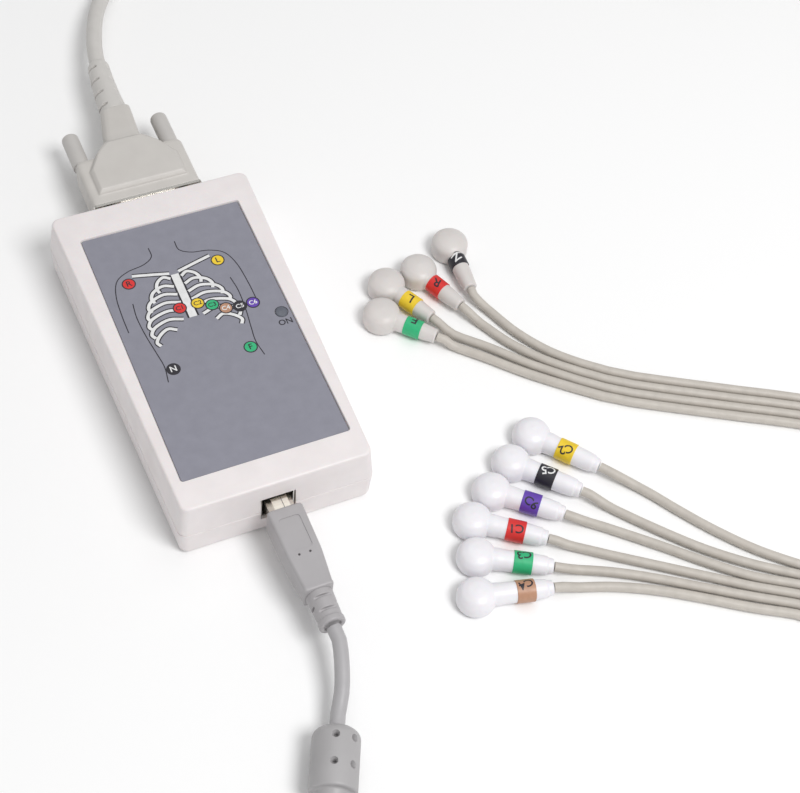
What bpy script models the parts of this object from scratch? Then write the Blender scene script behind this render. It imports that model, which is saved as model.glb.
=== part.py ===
"""A small electrocardiogram module for a computer, with its patient cable and its USB cable plugged in.

The box lies flat on a table. Its patient socket is on the back wall (+Y) and its USB socket on the front (-Y).
The ten electrode leads lie on the table to its right (+X) and meet in a yoke, from which one trunk cable runs
to the patient plug. The origin is on the table, under the middle of the box with its sockets. Lengths are in
metres.
"""

import math

import bmesh
import bpy
from mathutils import Matrix, Vector

# Clearances and cutting
GAP = 0.0003
OVERRUN = 0.002
SEAT = 0.0008
ARC_SHARE = 0.3

# The box: plan, heights and walls
BOX_LENGTH = 0.1250
BOX_BACK_WIDTH = 0.0703
BOX_FRONT_WIDTH = 0.0631
BOX_HEIGHT = 0.0247
PARTING_HEIGHT = 0.0115
PARTING_DRAFT = 0.0011
BASE_DRAFT = 0.0008
BOX_CORNER_RADIUS = 0.0026
TOP_EDGE_RADIUS = 0.0006
BASE_EDGE_RADIUS = 0.0026
WALL = 0.0020
ROOF = 0.0026
FLOOR = 0.0024
LIP_WALL = 0.0008
LIP_HEIGHT = 0.0012

# Label and power light
LABEL_WIDTH = 0.0558
LABEL_LENGTH = 0.1020
LABEL_THICKNESS = 0.0004
LABEL_RECESS = 0.0006
LABEL_SHIFT_Y = -0.0007
LIGHT_FROM_LABEL_EDGE = 0.0030
LIGHT_FROM_LABEL_CENTRE = 0.0006
LIGHT_DIAMETER = 0.0042
LIGHT_STEM_DIAMETER = 0.0028
LIGHT_DOME = ((0.6, 0.6), (0.0, 0.8))

# Case screws and their columns
SCREW_FRONT_X = 0.0262
SCREW_BACK_X = 0.0290
SCREW_END_DISTANCE = 0.0068
SCREW_SHANK_DIAMETER = 0.0022
SCREW_HEAD_DIAMETER = 0.0042
SCREW_HEAD_HEIGHT = 0.0016
SCREW_SINK = 0.0010
SCREW_LENGTH = 0.0140
SCREW_SLOT_WIDTH = 0.0007
COLUMN_DIAMETER = 0.0062

# Circuit board and what stands on it
BOARD_THICKNESS = 0.0016
BOARD_UNDERSIDE = 0.0057
BOARD_WIDTH = 0.0530
BOARD_FRONT_CLEARANCE = 0.0006
BOARD_BACK_SETBACK = 0.0050
BOARD_NOTCH_LENGTH = 0.0110
BOARD_NOTCH_WIDTH = 0.0080
BOARD_POST_DIAMETER = 0.0050
BOARD_POST_X = 0.0180
BOARD_POST_Y = 0.0360
PROCESSOR_SIDE = 0.0140
PROCESSOR_HEIGHT = 0.0014
PROCESSOR_X = -0.0060
PROCESSOR_Y = -0.0120
CONVERTER_LENGTH = 0.0200
CONVERTER_WIDTH = 0.0130
CONVERTER_HEIGHT = 0.0090
CONVERTER_X = 0.0120
CONVERTER_Y = 0.0200
CRYSTAL_LENGTH = 0.0110
CRYSTAL_WIDTH = 0.0046
CRYSTAL_HEIGHT = 0.0035
CRYSTAL_X = -0.0170
CRYSTAL_Y = -0.0280

# USB socket in the front wall
USB_X = -0.0003
USB_CENTRE_HEIGHT = 0.0128
USB_SHELL_WIDTH = 0.0112
USB_SHELL_HEIGHT = 0.0100
USB_SHELL_DEPTH = 0.0160
USB_SHELL_WALL = 0.0004
USB_TONGUE_WIDTH = 0.0056
USB_TONGUE_HEIGHT = 0.0032
USB_TONGUE_LENGTH = 0.0090
USB_BACK_THICKNESS = 0.0030

# USB plug, its strain relief and its cable
USB_PLUG_OUT = 0.0040
USB_METAL_WIDTH = 0.00845
USB_METAL_HEIGHT = 0.00778
USB_METAL_WALL = 0.0009
USB_METAL_REACH = 0.0070
USB_METAL_BEVEL = 0.0016
USB_GRIP_WIDTH = 0.0117
USB_GRIP_HEIGHT = 0.0114
USB_GRIP_WAIST_WIDTH = 0.0112
USB_GRIP_END_WIDTH = 0.0092
USB_GRIP_END_HEIGHT = 0.0092
USB_GRIP_STRAIGHT = 0.0150
USB_GRIP_LENGTH = 0.0298
USB_RELIEF_BASE_DIAMETER = 0.0088
USB_RELIEF_END_DIAMETER = 0.0078
USB_RELIEF_LENGTH = 0.0114
USB_RELIEF_GROOVES = 3
USB_RELIEF_GROOVE_DEPTH = 0.0010
RELIEF_FIRST_SHARE = 0.8
RELIEF_GROOVE_SHARE = 0.16
USB_CABLE_DIAMETER = 0.0047
USB_CABLE_ROUTE = ((-0.0022, -0.1225, 0.0110), (-0.0050, -0.1296, 0.0092))
USB_TO_COIL_ROUTE = ((-0.0270, -0.1760, 0.0056), (-0.0306, -0.1900, 0.0036))

# Ferrite on the USB cable
FERRITE_DIAMETER = 0.0146
FERRITE_LENGTH = 0.0200
FERRITE_EDGE_RADIUS = 0.0014
FERRITE_START = (-0.0106, -0.1397)
FERRITE_HEADING = -115.8
FERRITE_HOLE_DIAMETER = 0.0016
FERRITE_HOLE_DEPTH = 0.0022
FERRITE_HOLE_FIRST = 0.0046
FERRITE_HOLE_PITCH = 0.0082
FERRITE_HOLE_TILTS = (3.0, -46.0)
FERRITE_NOSE_DIAMETER = 0.0102
FERRITE_NOSE_END_DIAMETER = 0.0076
FERRITE_NOSE_LENGTH = 0.0050

# USB coil, put away past the front of the view, and the plug for the computer
USB_COIL_CENTRE = (0.0050, -0.2214)
USB_COIL_RADIUS = 0.0364
USB_COIL_PITCH = 0.0055
USB_COIL_LAYER_TURNS = 3
USB_COIL_TAIL = 0.0220
COMPUTER_RELIEF_LENGTH = 0.0120
COMPUTER_GRIP_LENGTH = 0.0240
COMPUTER_GRIP_WIDTH = 0.0156
COMPUTER_GRIP_HEIGHT = 0.0080
COMPUTER_METAL_LENGTH = 0.0180
COMPUTER_METAL_WIDTH = 0.0120
COMPUTER_METAL_HEIGHT = 0.0045
COMPUTER_METAL_WALL = 0.0004

# Bands that hold the two coils
TIE_WALL = 0.0008
TIE_CLEARANCE = 0.0006
COIL_REST = 0.0007
TIE_LENGTH_SHARE = 1.2
COIL_LAST_TURN_SHARE = 0.25
COIL_CLIMB_SHARE = 0.5
COIL_TAIL_SHARES = (0.35, 0.7, 1.0)
COIL_OPPOSITE_SHARE = 0.5

# Patient socket in the back wall: a 15-way D connector
PATIENT_X = 0.0015
PATIENT_HEIGHT = 0.0130
SCREW_LOCK_SPACING = 0.03332
FLANGE_BEYOND_LOCK = 0.00294
FLANGE_HEIGHT = 0.0125
FLANGE_THICKNESS = 0.0010
D_TO_LOCK = 0.00436
D_HEIGHT = 0.0080
D_SLOPE = 10.0
D_CORNER_RADIUS = 0.0020
D_WALL = 0.0005
D_REACH = 0.0069
D_INSULATOR_DEPTH = 0.0080
LOCK_ACROSS_FLATS = 0.0050
LOCK_LENGTH = 0.0063
LOCK_STEM_DIAMETER = 0.0026
LOCK_STEM_LENGTH = 0.0040
LOCK_BORE_DIAMETER = 0.0034
LOCK_BORE_DEPTH = 0.0052

# Patient plug: hood, metal shell, thumbscrews and strain relief
HOOD_EAR_HEIGHT = 0.0118
HOOD_EAR_LENGTH = 0.0220
HOOD_BODY_HEIGHT = 0.0154
HOOD_BODY_SETBACK = 0.0036
HOOD_BODY_SHOULDER = 0.0012
HOOD_BODY_START = 0.0040
HOOD_BODY_STRAIGHT = 0.0150
HOOD_BODY_BEND_LENGTH = 0.0220
HOOD_BODY_BEND_SETBACK = 0.0078
HOOD_NECK_START = 0.0270
HOOD_NECK_HALF_WIDTH = 0.0071
HOOD_NECK_END = 0.0440
HOOD_NECK_END_HALF_WIDTH = 0.0056
HOOD_NECK_END_HEIGHT = 0.0112
HOOD_NECK_CORNER = 0.0026
HOOD_NECK_SHIFT = 0.0024
HOOD_NECK_STEP_SHARE = 0.4
HOOD_NECK_CURVE_SHARE = 1.3
HOOD_CORNER_RADIUS = 0.0018
PLUG_WALL = 0.0005
THUMB_DIAMETER = 0.0062
THUMB_LENGTH = 0.0163
THUMB_COLLAR_DIAMETER = 0.0050
THUMB_COLLAR_LENGTH = 0.0012
THUMB_EDGE_RADIUS = 0.0008
THUMB_STEM_DIAMETER = 0.0027
THUMB_SLOT_WIDTH = 0.0010
THUMB_SLOT_DEPTH = 0.0012
THUMB_BORE_DIAMETER = 0.0034
BOOT_BASE_DIAMETER = 0.0104
BOOT_END_DIAMETER = 0.0080
BOOT_SLOTS = 4
BOOT_SLOT_WIDTH = 0.0010
BOOT_SLOT_DEPTH = 0.0016
BOOT_SLOT_HEIGHT = 0.0052
BOOT_SLOT_TILT = 0.5
BOOT_SLOT_FIRST_SHARE = 0.45
BOOT_STEPS = 12
BOOT_BEND = 0.0020
BOOT_LENGTH = 0.0268

# Trunk cable and its coil, put away past the back of the view
TRUNK_DIAMETER = 0.0060
TRUNK_ROUTE = (
    (0.0069, 0.1450, 0.0124), (0.0091, 0.1533, 0.0113), (0.0135, 0.1662, 0.0092), (0.0196, 0.1790, 0.0062),
    (0.0290, 0.1925, 0.0038), (0.0440, 0.2035, 0.0031), (0.0700, 0.2090, 0.0031), (0.1100, 0.2105, 0.0031),
    (0.1500, 0.2110, 0.0031), (0.2000, 0.2113, 0.0031),
)
TRUNK_COIL_CENTRE = (0.2565, 0.1690)
TRUNK_COIL_RADIUS = 0.0425
TRUNK_COIL_PITCH = 0.0065
TRUNK_COIL_LAYER_TURNS = 2
TRUNK_COIL_TAIL = 0.0260
TRUNK_TO_YOKE_ROUTE = (
    (0.3008, 0.1180, 0.0031), (0.2998, 0.0900, 0.0031), (0.2940, 0.0580, 0.0032), (0.2880, 0.0300, 0.0038),
    (0.2864, 0.0080, 0.0046),
)

# Yoke, where the ten leads meet
YOKE_X = 0.2862
YOKE_ENTRY_Y = -0.0700
YOKE_HALF_WIDTH = 0.0206
YOKE_STRAIGHT = 0.0160
YOKE_LENGTH = 0.0360
YOKE_END_HALF_WIDTH = 0.0062
YOKE_HEIGHT = 0.0096
YOKE_CORNER_RADIUS = 0.0020
YOKE_EDGE = 0.0010
YOKE_RELIEF_LENGTH = 0.0220
YOKE_RELIEF_END_DIAMETER = 0.0076

# Electrode leads and their snap connectors
LEAD_DIAMETER = 0.0032
LEAD_PITCH = 0.0037
LEAD_LIE = 0.0017
SNAP_HEAD_DIAMETER = 0.0130
SNAP_HEIGHT = 0.0087
SNAP_SIDE_HEIGHT = 0.0052
SNAP_FOOT_CHAMFER = 0.0008
SNAP_SOCKET_DIAMETER = 0.0044
SNAP_SOCKET_DEPTH = 0.0030
SNAP_DOME_SHARES = ((0.88, 0.52), (0.58, 0.87))
SNAP_ROOT_SHARE = 0.4
LIMB_SNAP_LENGTH = 0.0206
LIMB_BARREL_DIAMETER = 0.0063
CHEST_SNAP_LENGTH = 0.0247
CHEST_BARREL_DIAMETER = 0.0070
SNAP_BARREL_HEIGHT = 0.0038
SNAP_BARREL_TAPER = 0.0004
SNAP_END_DIAMETER = 0.0048
SNAP_END_LENGTH = 0.0016

LIMB_BUNDLE = (
    (0.1181, -0.0464), (0.1255, -0.0525), (0.1333, -0.0578), (0.1480, -0.0662), (0.1660, -0.0762), (
        0.1840, -0.0862
    ),
    (0.2020, -0.0985), (0.2180, -0.1160), (0.2285, -0.1390), (0.2335, -0.1640), (0.2420, -0.1860), (
        0.2565, -0.1950
    ),
    (0.2690, -0.1860), (0.2740, -0.1640), (0.2748, -0.1350), (0.2748, -0.1050), (0.2748, -0.0760),
)
CHEST_BUNDLE = (
    (0.1472, -0.1468), (0.1655, -0.1615), (0.1845, -0.1780), (0.2030, -0.1975), (0.2215, -0.2180), (
        0.2430, -0.2300
    ),
    (0.2660, -0.2270), (0.2830, -0.2090), (0.2916, -0.1820), (0.2936, -0.1500), (0.2936, -0.1150), (
        0.2936, -0.0760
    ),
)
BUNDLE_RISE = 0.0031
BUNDLE_RISE_LENGTH = 0.0260
# Each lead: name, middle of its snap, heading of its barrel in degrees, the points that it passes on the way
# to its bundle, and its place in the bundle, counted from the bundle's middle to its left.
LIMB_LEADS = (
    ("n", (0.0989, 0.0205), -93.0, ((0.1005, -0.0090), (0.1057, -0.0218), (0.1130, -0.0332)), 1.5),
    ("r", (0.0833, 0.0131), -67.0, ((0.0958, -0.0145), (0.1016, -0.0255), (0.1098, -0.0360)), 0.5),
    ("l", (0.0701, 0.0111), -63.0, ((0.0848, -0.0158), (0.0938, -0.0246), (0.1038, -0.0356)), -0.5),
    ("f", (0.0632, -0.0007), -45.5, ((0.0832, -0.0208), (0.0916, -0.0289), (0.1018, -0.0394)), -1.5),
)
CHEST_LEADS = (
    ("c2", (0.0907, -0.0642), -50.0,
     ((0.1170, -0.0951), (0.1243, -0.1063), (0.1317, -0.1170), (0.1415, -0.1289)), 2.5),
    ("c5", (0.0795, -0.0716), -46.3,
     ((0.1040, -0.0982), (0.1104, -0.1060), (0.1193, -0.1162), (0.1275, -0.1246), (0.1384, -0.1338)), 1.5),
    ("c6", (0.0687, -0.0793), -41.0,
     ((0.0945, -0.1004), (0.1028, -0.1076), (0.1135, -0.1174), (0.1246, -0.1280), (0.1354, -0.1372)), 0.5),
    ("c1", (0.0581, -0.0874), -35.8,
     ((0.0855, -0.1066), (0.0965, -0.1145), (0.1095, -0.1236), (0.1215, -0.1320), (0.1335, -0.1404)), -0.5),
    ("c3", (0.0537, -0.0999), -29.0,
     ((0.0835, -0.1150), (0.0950, -0.1205), (0.1075, -0.1280), (0.1195, -0.1359), (0.1315, -0.1436)), -1.5),
    ("c4", (0.0477, -0.1129), -13.5,
     ((0.0810, -0.1208), (0.0925, -0.1250), (0.1050, -0.1313), (0.1172, -0.1389), (0.1293, -0.1469)), -2.5),
)

# Faces round a turned piece, and steps along a smooth route
ROUND_STEPS = 24
SMALL_ROUND_STEPS = 12
THUMB_STEPS = 16
BORE_STEPS = 8
HEAD_STEPS = 16
BARREL_STEPS = 12
CORNER_STEPS = 3
SMOOTH_STEPS = 12
COIL_LOOP_STEPS = 24
TUBE_STEP_SHARE = 3.0

# Sizes and places that follow from the sizes above
FLANGE_WIDTH = SCREW_LOCK_SPACING + 2 * FLANGE_BEYOND_LOCK
D_WIDTH = SCREW_LOCK_SPACING - 2 * D_TO_LOCK
HOOD_WIDTH = FLANGE_WIDTH
HOOD_BODY_FOOT_HALF_WIDTH = HOOD_WIDTH / 2 - HOOD_BODY_SETBACK
HOOD_BODY_BEND_HALF_WIDTH = HOOD_WIDTH / 2 - HOOD_BODY_BEND_SETBACK
PATIENT_WALL_FACE = BOX_LENGTH / 2 + PARTING_DRAFT
BOX_Y = -(BOX_LENGTH / 2 - WALL - GAP + D_REACH - PATIENT_WALL_FACE) / 2
LABEL_Y = BOX_Y + LABEL_SHIFT_Y
BOARD_TOP = BOARD_UNDERSIDE + BOARD_THICKNESS
LABEL_TOP = BOX_HEIGHT - LABEL_RECESS
LABEL_UNDERSIDE = LABEL_TOP - LABEL_THICKNESS
POCKET_FLOOR = LABEL_UNDERSIDE - GAP
LIGHT_X = LABEL_WIDTH / 2 - LIGHT_FROM_LABEL_EDGE
LIGHT_Y = LABEL_Y + LIGHT_FROM_LABEL_CENTRE
FRONT_FACE_Y = BOX_Y - PATIENT_WALL_FACE
BACK_FACE_Y = BOX_Y + PATIENT_WALL_FACE
PATIENT_FLANGE_FRONT = BOX_Y + BOX_LENGTH / 2 - WALL - GAP
PATIENT_SHELL_END = PATIENT_FLANGE_FRONT + D_REACH
PLUG_FLANGE_FRONT = PATIENT_FLANGE_FRONT + D_REACH + GAP
HOOD_FRONT = PLUG_FLANGE_FRONT + FLANGE_THICKNESS + GAP
HOOD_EAR_BACK = HOOD_FRONT + HOOD_EAR_LENGTH
USB_GRIP_FRONT = FRONT_FACE_Y - USB_PLUG_OUT
USB_GRIP_END = USB_GRIP_FRONT - USB_GRIP_LENGTH
USB_RELIEF_END = USB_GRIP_END - GAP - USB_RELIEF_LENGTH
ALONG_Y = Matrix.Rotation(-math.pi / 2, 4, "X")
AGAINST_Y = Matrix.Rotation(math.pi / 2, 4, "X")


def clear_scene():
    for obj in list(bpy.data.objects):
        bpy.data.objects.remove(obj)


def make_material(name, colour, roughness, metallic=0.0):
    mat = bpy.data.materials.new(name)
    mat.use_nodes = True
    shader = mat.node_tree.nodes["Principled BSDF"]
    shader.inputs["Base Color"].default_value = (*colour, 1.0)
    shader.inputs["Roughness"].default_value = roughness
    shader.inputs["Metallic"].default_value = metallic
    mat.diffuse_color = (*colour, 1.0)
    return mat


def add_object(name, mesh, mat, matrix=None):
    obj = bpy.data.objects.new(name, mesh)
    bpy.context.scene.collection.objects.link(obj)
    if mat:
        mesh.materials.append(mat)
    obj.matrix_world = matrix or Matrix()
    return obj


def add_cutter(obj):
    obj.hide_render = True
    obj.display_type = "WIRE"
    return obj


def loft(name, rings, mat=None, matrix=None):
    """A closed solid through rings of points, all with the same number of points."""
    build = bmesh.new()
    rows = [[build.verts.new(point) for point in ring] for ring in rings]
    count = len(rows[0])
    for low, high in zip(rows, rows[1:]):
        for i in range(count):
            j = (i + 1) % count
            build.faces.new((low[i], low[j], high[j], high[i]))
    build.faces.new(list(reversed(rows[0])))
    build.faces.new(rows[-1])
    bmesh.ops.recalc_face_normals(build, faces=build.faces)
    mesh = bpy.data.meshes.new(name)
    build.to_mesh(mesh)
    build.free()
    return add_object(name, mesh, mat, matrix)


def prism(name, outline, low, high, mat=None, matrix=None):
    """An outline in X and Y, raised from low to high."""
    return loft(name, [[(x, y, z) for x, y in outline] for z in (low, high)], mat, matrix)


def box(name, size, middle, mat=None):
    x, y, z = (value / 2 for value in size)
    outline = [(-x, -y), (x, -y), (x, y), (-x, y)]
    return prism(name, outline, -z, z, mat, Matrix.Translation(middle))


def turned(name, profile, steps, mat=None, matrix=None):
    """A solid of revolution about local Z, from a profile of (radius, height) pairs, lower end first."""
    build = bmesh.new()
    rows = []
    for radius, height in profile:
        if radius == 0:
            rows.append([build.verts.new((0, 0, height))])
            continue
        angles = [2 * math.pi * i / steps for i in range(steps)]
        rows.append([build.verts.new((radius * math.cos(a), radius * math.sin(a), height)) for a in angles])
    for low, high in zip(rows, rows[1:]):
        for i in range(steps):
            j = (i + 1) % steps
            if len(low) == 1:
                build.faces.new((low[0], high[j], high[i]))
            elif len(high) == 1:
                build.faces.new((low[i], low[j], high[0]))
            else:
                build.faces.new((low[i], low[j], high[j], high[i]))
    for row in (rows[0], rows[-1]):
        if len(row) > 1:
            build.faces.new(row)
    bmesh.ops.recalc_face_normals(build, faces=build.faces)
    mesh = bpy.data.meshes.new(name)
    build.to_mesh(mesh)
    build.free()
    mesh.shade_smooth()
    mesh.set_sharp_from_angle(angle=math.radians(40))
    return add_object(name, mesh, mat, matrix)


def rod(name, diameter, length, steps, mat=None, matrix=None):
    return turned(name, [(diameter / 2, 0), (diameter / 2, length)], steps, mat, matrix)


def boolean(obj, other, operation):
    """Cuts the other object from this one, joins it on, or keeps what both share."""
    modifier = obj.modifiers.new(other.name, "BOOLEAN")
    modifier.operation = operation
    modifier.solver = "EXACT"
    modifier.object = add_cutter(other)


def cut(obj, *others):
    for other in others:
        boolean(obj, other, "DIFFERENCE")


def join(obj, *others):
    for other in others:
        boolean(obj, other, "UNION")


def rounded_outline(corners, radius, steps=CORNER_STEPS):
    """The corners of a convex outline, counter-clockwise, each replaced by an arc."""
    points = []
    count = len(corners)
    for i in range(count):
        before, corner, after = (Vector(corners[(i + k) % count]) for k in (-1, 0, 1))
        back = (before - corner).normalized()
        ahead = (after - corner).normalized()
        half = back.angle(ahead) / 2
        centre = corner + (back + ahead).normalized() * radius / math.sin(half)
        start = corner + back * radius / math.tan(half) - centre
        turn = math.pi - 2 * half
        for k in range(steps + 1):
            angle = turn * k / steps
            spun = Matrix.Rotation(angle, 2) @ start
            points.append(tuple(centre + spun))
    return points


def rectangle(width, length, radius, steps=CORNER_STEPS):
    x, y = width / 2, length / 2
    return rounded_outline([(-x, -y), (x, -y), (x, y), (-x, y)], radius, steps)


def box_outline(grow, radius):
    """The box's plan, wider at its back than at its front, grown by a distance all round."""
    back = BOX_BACK_WIDTH / 2 + grow
    front = BOX_FRONT_WIDTH / 2 + grow
    end = BOX_LENGTH / 2 + grow
    corners = [(-front, BOX_Y - end), (front, BOX_Y - end), (back, BOX_Y + end), (-back, BOX_Y + end)]
    return rounded_outline(corners, radius)


def box_ring(grow, radius, height):
    return [(x, y, height) for x, y in box_outline(grow, radius)]


def smooth_points(points, steps=SMOOTH_STEPS):
    """A Catmull-Rom curve through the points."""
    route = [Vector(point) for point in points]
    route = [2 * route[0] - route[1], *route, 2 * route[-1] - route[-2]]
    curve = []
    for a, b, c, d in zip(route, route[1:], route[2:], route[3:]):
        for k in range(steps):
            t = k / steps
            rest = (2 * a - 5 * b + 4 * c - d) * t**2 + (3 * b - a - 3 * c + d) * t**3
            curve.append((2 * b + (c - a) * t + rest) / 2)
    curve.append(route[-2])
    return curve


def even_points(curve, step):
    """Points at equal distances along a curve, near the step asked for, with both ends kept."""
    lengths = [0.0]
    for a, b in zip(curve, curve[1:]):
        lengths.append(lengths[-1] + (b - a).length)
    count = max(2, round(lengths[-1] / step))
    points, index = [], 0
    for k in range(count + 1):
        wanted = lengths[-1] * k / count
        while index < len(curve) - 2 and lengths[index + 1] < wanted:
            index += 1
        span = lengths[index + 1] - lengths[index]
        share = min(1.0, (wanted - lengths[index]) / span) if span else 0.0
        points.append(curve[index].lerp(curve[index + 1], share))
    return points


def tube(name, points, diameter, mat, resolution=2):
    curve = bpy.data.curves.new(name, "CURVE")
    curve.dimensions = "3D"
    curve.bevel_depth = diameter / 2
    curve.bevel_resolution = resolution
    curve.use_fill_caps = True
    spline = curve.splines.new("POLY")
    spline.points.add(len(points) - 1)
    for target, point in zip(spline.points, points):
        target.co = (*point, 1.0)
    curve.materials.append(mat)
    obj = bpy.data.objects.new(name, curve)
    bpy.context.scene.collection.objects.link(obj)
    return obj


def route_points(route, diameter):
    """Points along a smooth curve through a route, whose first and last stretches stay straight."""
    curve = smooth_points(route)
    middle = curve[SMOOTH_STEPS : len(curve) - SMOOTH_STEPS]
    points = [curve[0], *even_points(middle, TUBE_STEP_SHARE * diameter), curve[-1]]
    for point in points:
        point.z = max(point.z, diameter / 2 + LEAD_LIE - LEAD_DIAMETER / 2)
    return points


def cable(name, route, diameter, mat, resolution=2):
    return tube(name, route_points(route, diameter), diameter, mat, resolution)


def offset_point(place, heading, distance, height):
    """A point at a distance from a place on the table, along a heading in degrees."""
    angle = math.radians(heading)
    return Vector((place[0] + distance * math.cos(angle), place[1] + distance * math.sin(angle), height))


def coil_points(centre, radius, pitch, layer_turns, start, turn, diameter, tail):
    """A cord wound in from its outer turn on the table, and out again on the layer above.

    start is the angle of the first point in degrees, and turn is 1 counter-clockwise or -1 clockwise.
    It ends a quarter turn past its start, and its tail runs on straight and comes down half a layer.
    """
    low = diameter / 2 + COIL_REST
    first = math.radians(start)
    loops = 2 * layer_turns + COIL_LAST_TURN_SHARE
    count = round(loops * COIL_LOOP_STEPS)
    points = []
    for i in range(count + 1):
        turns = loops * i / count
        inward = min(turns, 2 * layer_turns - turns)
        climb = min(1.0, max(0.0, (turns - layer_turns) / COIL_CLIMB_SHARE + 1 / 2))
        height = low + pitch * (1 - math.cos(math.pi * climb)) / 2
        angle = first + turn * 2 * math.pi * turns
        reach = radius - pitch * inward
        spot = (centre[0] + reach * math.cos(angle), centre[1] + reach * math.sin(angle), height)
        points.append(Vector(spot))
    entry = Vector((turn * math.sin(first), -turn * math.cos(first), 0)) * diameter
    last = math.radians(start) + turn * math.pi / 2
    ahead = Vector((-turn * math.sin(last), turn * math.cos(last), 0))
    end = points[-1]
    drop = Vector((0, 0, -pitch / 2))
    full_share = COIL_TAIL_SHARES[1]
    for share in COIL_TAIL_SHARES:
        points.append(end + ahead * tail * share + drop * min(1.0, share / full_share) ** 2)
    return [points[0] + entry, *points]


def least_gap(points, diameter):
    """The least distance between two stretches of one cord that aren't neighbours, less its diameter."""
    reach = 2 * diameter
    lengths = [0.0]
    for a, b in zip(points, points[1:]):
        lengths.append(lengths[-1] + (b - a).length)
    best = math.inf
    for i, a in enumerate(points):
        for j in range(i + 1, len(points)):
            if lengths[j] - lengths[i] > reach:
                best = min(best, (points[j] - a).length)
    return best - diameter


def along(points, distance):
    """The point at a distance along a route, and the route's direction there."""
    left = distance
    for a, b in zip(points, points[1:]):
        span = (b - a).length
        if left <= span:
            return a.lerp(b, left / span), (b - a).normalized()
        left -= span
    return points[-1], (points[-1] - points[-2]).normalized()


def screw_places():
    end = BOX_LENGTH / 2 - SCREW_END_DISTANCE
    for side in (-1, 1):
        yield side * SCREW_FRONT_X, BOX_Y - end
        yield side * SCREW_BACK_X, BOX_Y + end


def socket_cutters(tag):
    """What both halves of the box leave free for the sockets in its end walls."""
    usb = box(
        f"usb_window_{tag}",
        (USB_SHELL_WIDTH + 2 * GAP, WALL + 2 * OVERRUN, USB_SHELL_HEIGHT + 2 * GAP),
        (USB_X, FRONT_FACE_Y + WALL / 2, USB_CENTRE_HEIGHT),
    )
    middle = (PATIENT_X, BACK_FACE_Y - WALL / 2, PATIENT_HEIGHT)
    patient = box(
        f"patient_window_{tag}",
        (D_WIDTH + 2 * (PLUG_WALL + 2 * GAP), WALL + 2 * OVERRUN, D_HEIGHT + 2 * (PLUG_WALL + 2 * GAP)),
        middle,
    )
    locks = []
    for side in (-1, 1):
        place = Matrix.Translation(
            (PATIENT_X + side * SCREW_LOCK_SPACING / 2, middle[1] - WALL / 2 - OVERRUN, middle[2])
        )
        across = LOCK_ACROSS_FLATS / math.cos(math.pi / 6) + 2 * GAP
        locks.append(
            rod(
                f"lock_window_{tag}_{side}",
                across,
                WALL + 2 * OVERRUN,
                SMALL_ROUND_STEPS,
                None,
                place @ ALONG_Y,
            ),
        )
    return [usb, patient, *locks]


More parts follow.
